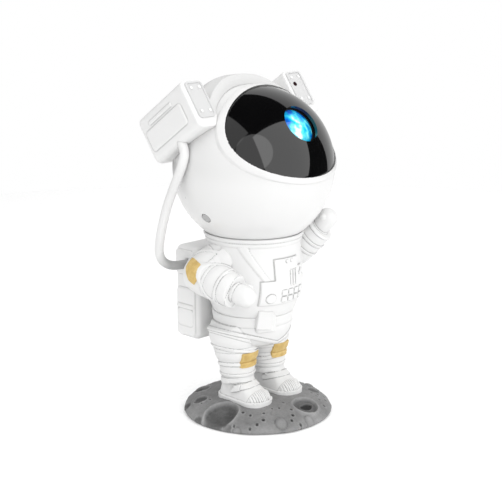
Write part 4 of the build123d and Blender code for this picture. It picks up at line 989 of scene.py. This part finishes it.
def makeBoot(side, sign):
    upper = merged(side + "_boot")
    parts = [upper.copy()]
    for growth, middle, way, width, limits in boot["bands"]:
        limits = [(mirrored(place, sign), mirrored(direction, sign)) for place, direction in limits]
        parts.append(banded(upper, growth, mirrored(middle, sign), mirrored(way, sign), width, *limits))
    parts.append(clipped(grown(upper, boot["capGrowth"]), *boot["cap"]))
    for rib in range(boot["ribs"]):
        place = mirrored((boot["firstRib"] + rib * boot["ribPitch"], 0, 0), sign)
        parts.append(banded(upper, boot["ribGrowth"], place, (1, 0, 0), boot["ribWidth"], *boot["cap"]))
    upper.free()
    shape = joined(*parts)
    heel = max(vertex.co.y for vertex in shape.verts)
    for vertex in shape.verts:
        vertex.co.y = heel + (vertex.co.y - heel) * boot["toeScale"]
    moulded(side + "BootShell", [side + "_boot"], trimWhite, shape, **boot["skin"])


for side, sign in sides:
    makeBoot(side, sign)
print("boots made")


# ---- packs, headband and visor rim

earPack = {"skin": {"voxel": 0.42, "rounds": 4, "reach": 1.8}}
backpack = {"skin": {"voxel": 0.46, "rounds": 1, "reach": 1.8}}
visorRim = {"skin": {"voxel": 0.36, "rounds": 4}}
headband = {
    "skin": {"voxel": 0.42, "rounds": 3},
    # its outer face, past this distance from the helmet's centre, is raised near the middle plane
    "outside": 54.3, "raise": 2.0, "raisedFrom": 36.0, "raisedFull": 16.0,
}


def makeHeadband():
    crest = merged("headband")
    for vertex in crest.verts:
        offset = vertex.co - helmetPlace.translation
        if offset.length > headband["outside"] * mm:
            rise = share(abs(vertex.co.x) / mm, headband["raisedFrom"], headband["raisedFull"])
            vertex.co += offset.normalized() * headband["raise"] * rise * mm
    moulded("headBridge", ["headband"], bandGrey, crest, "head", **headband["skin"])


for side, _ in sides:
    moulded(side + "EarPack", [side + "_ear_pack"], packWhite, ride="head", **earPack["skin"])
makeHeadband()
moulded("suitPack", ["backpack"], packWhite, **backpack["skin"])
moulded("visorSurround", ["visor_rim"], helmetWhite, ride="head", **visorRim["skin"])
print("packs made")


# ---- floor

paper = {"radius": 0.85, "corners": 96, "tone": (0.93, 0.93, 0.93), "roughness": 0.9, "glow": 0.12}
floor = bmesh.new()
bmesh.ops.create_circle(floor, cap_ends=True, segments=paper["corners"], radius=paper["radius"])
floorPaper = plainMould("floorPaper", paper["tone"], paper["roughness"])
floorShader = floorPaper.node_tree.nodes["Principled BSDF"]
floorShader.inputs["Emission Color"].default_value = (1, 1, 1, 1)
floorShader.inputs["Emission Strength"].default_value = paper["glow"]
objectFrom(floor, "studioFloor", floorPaper, 30)
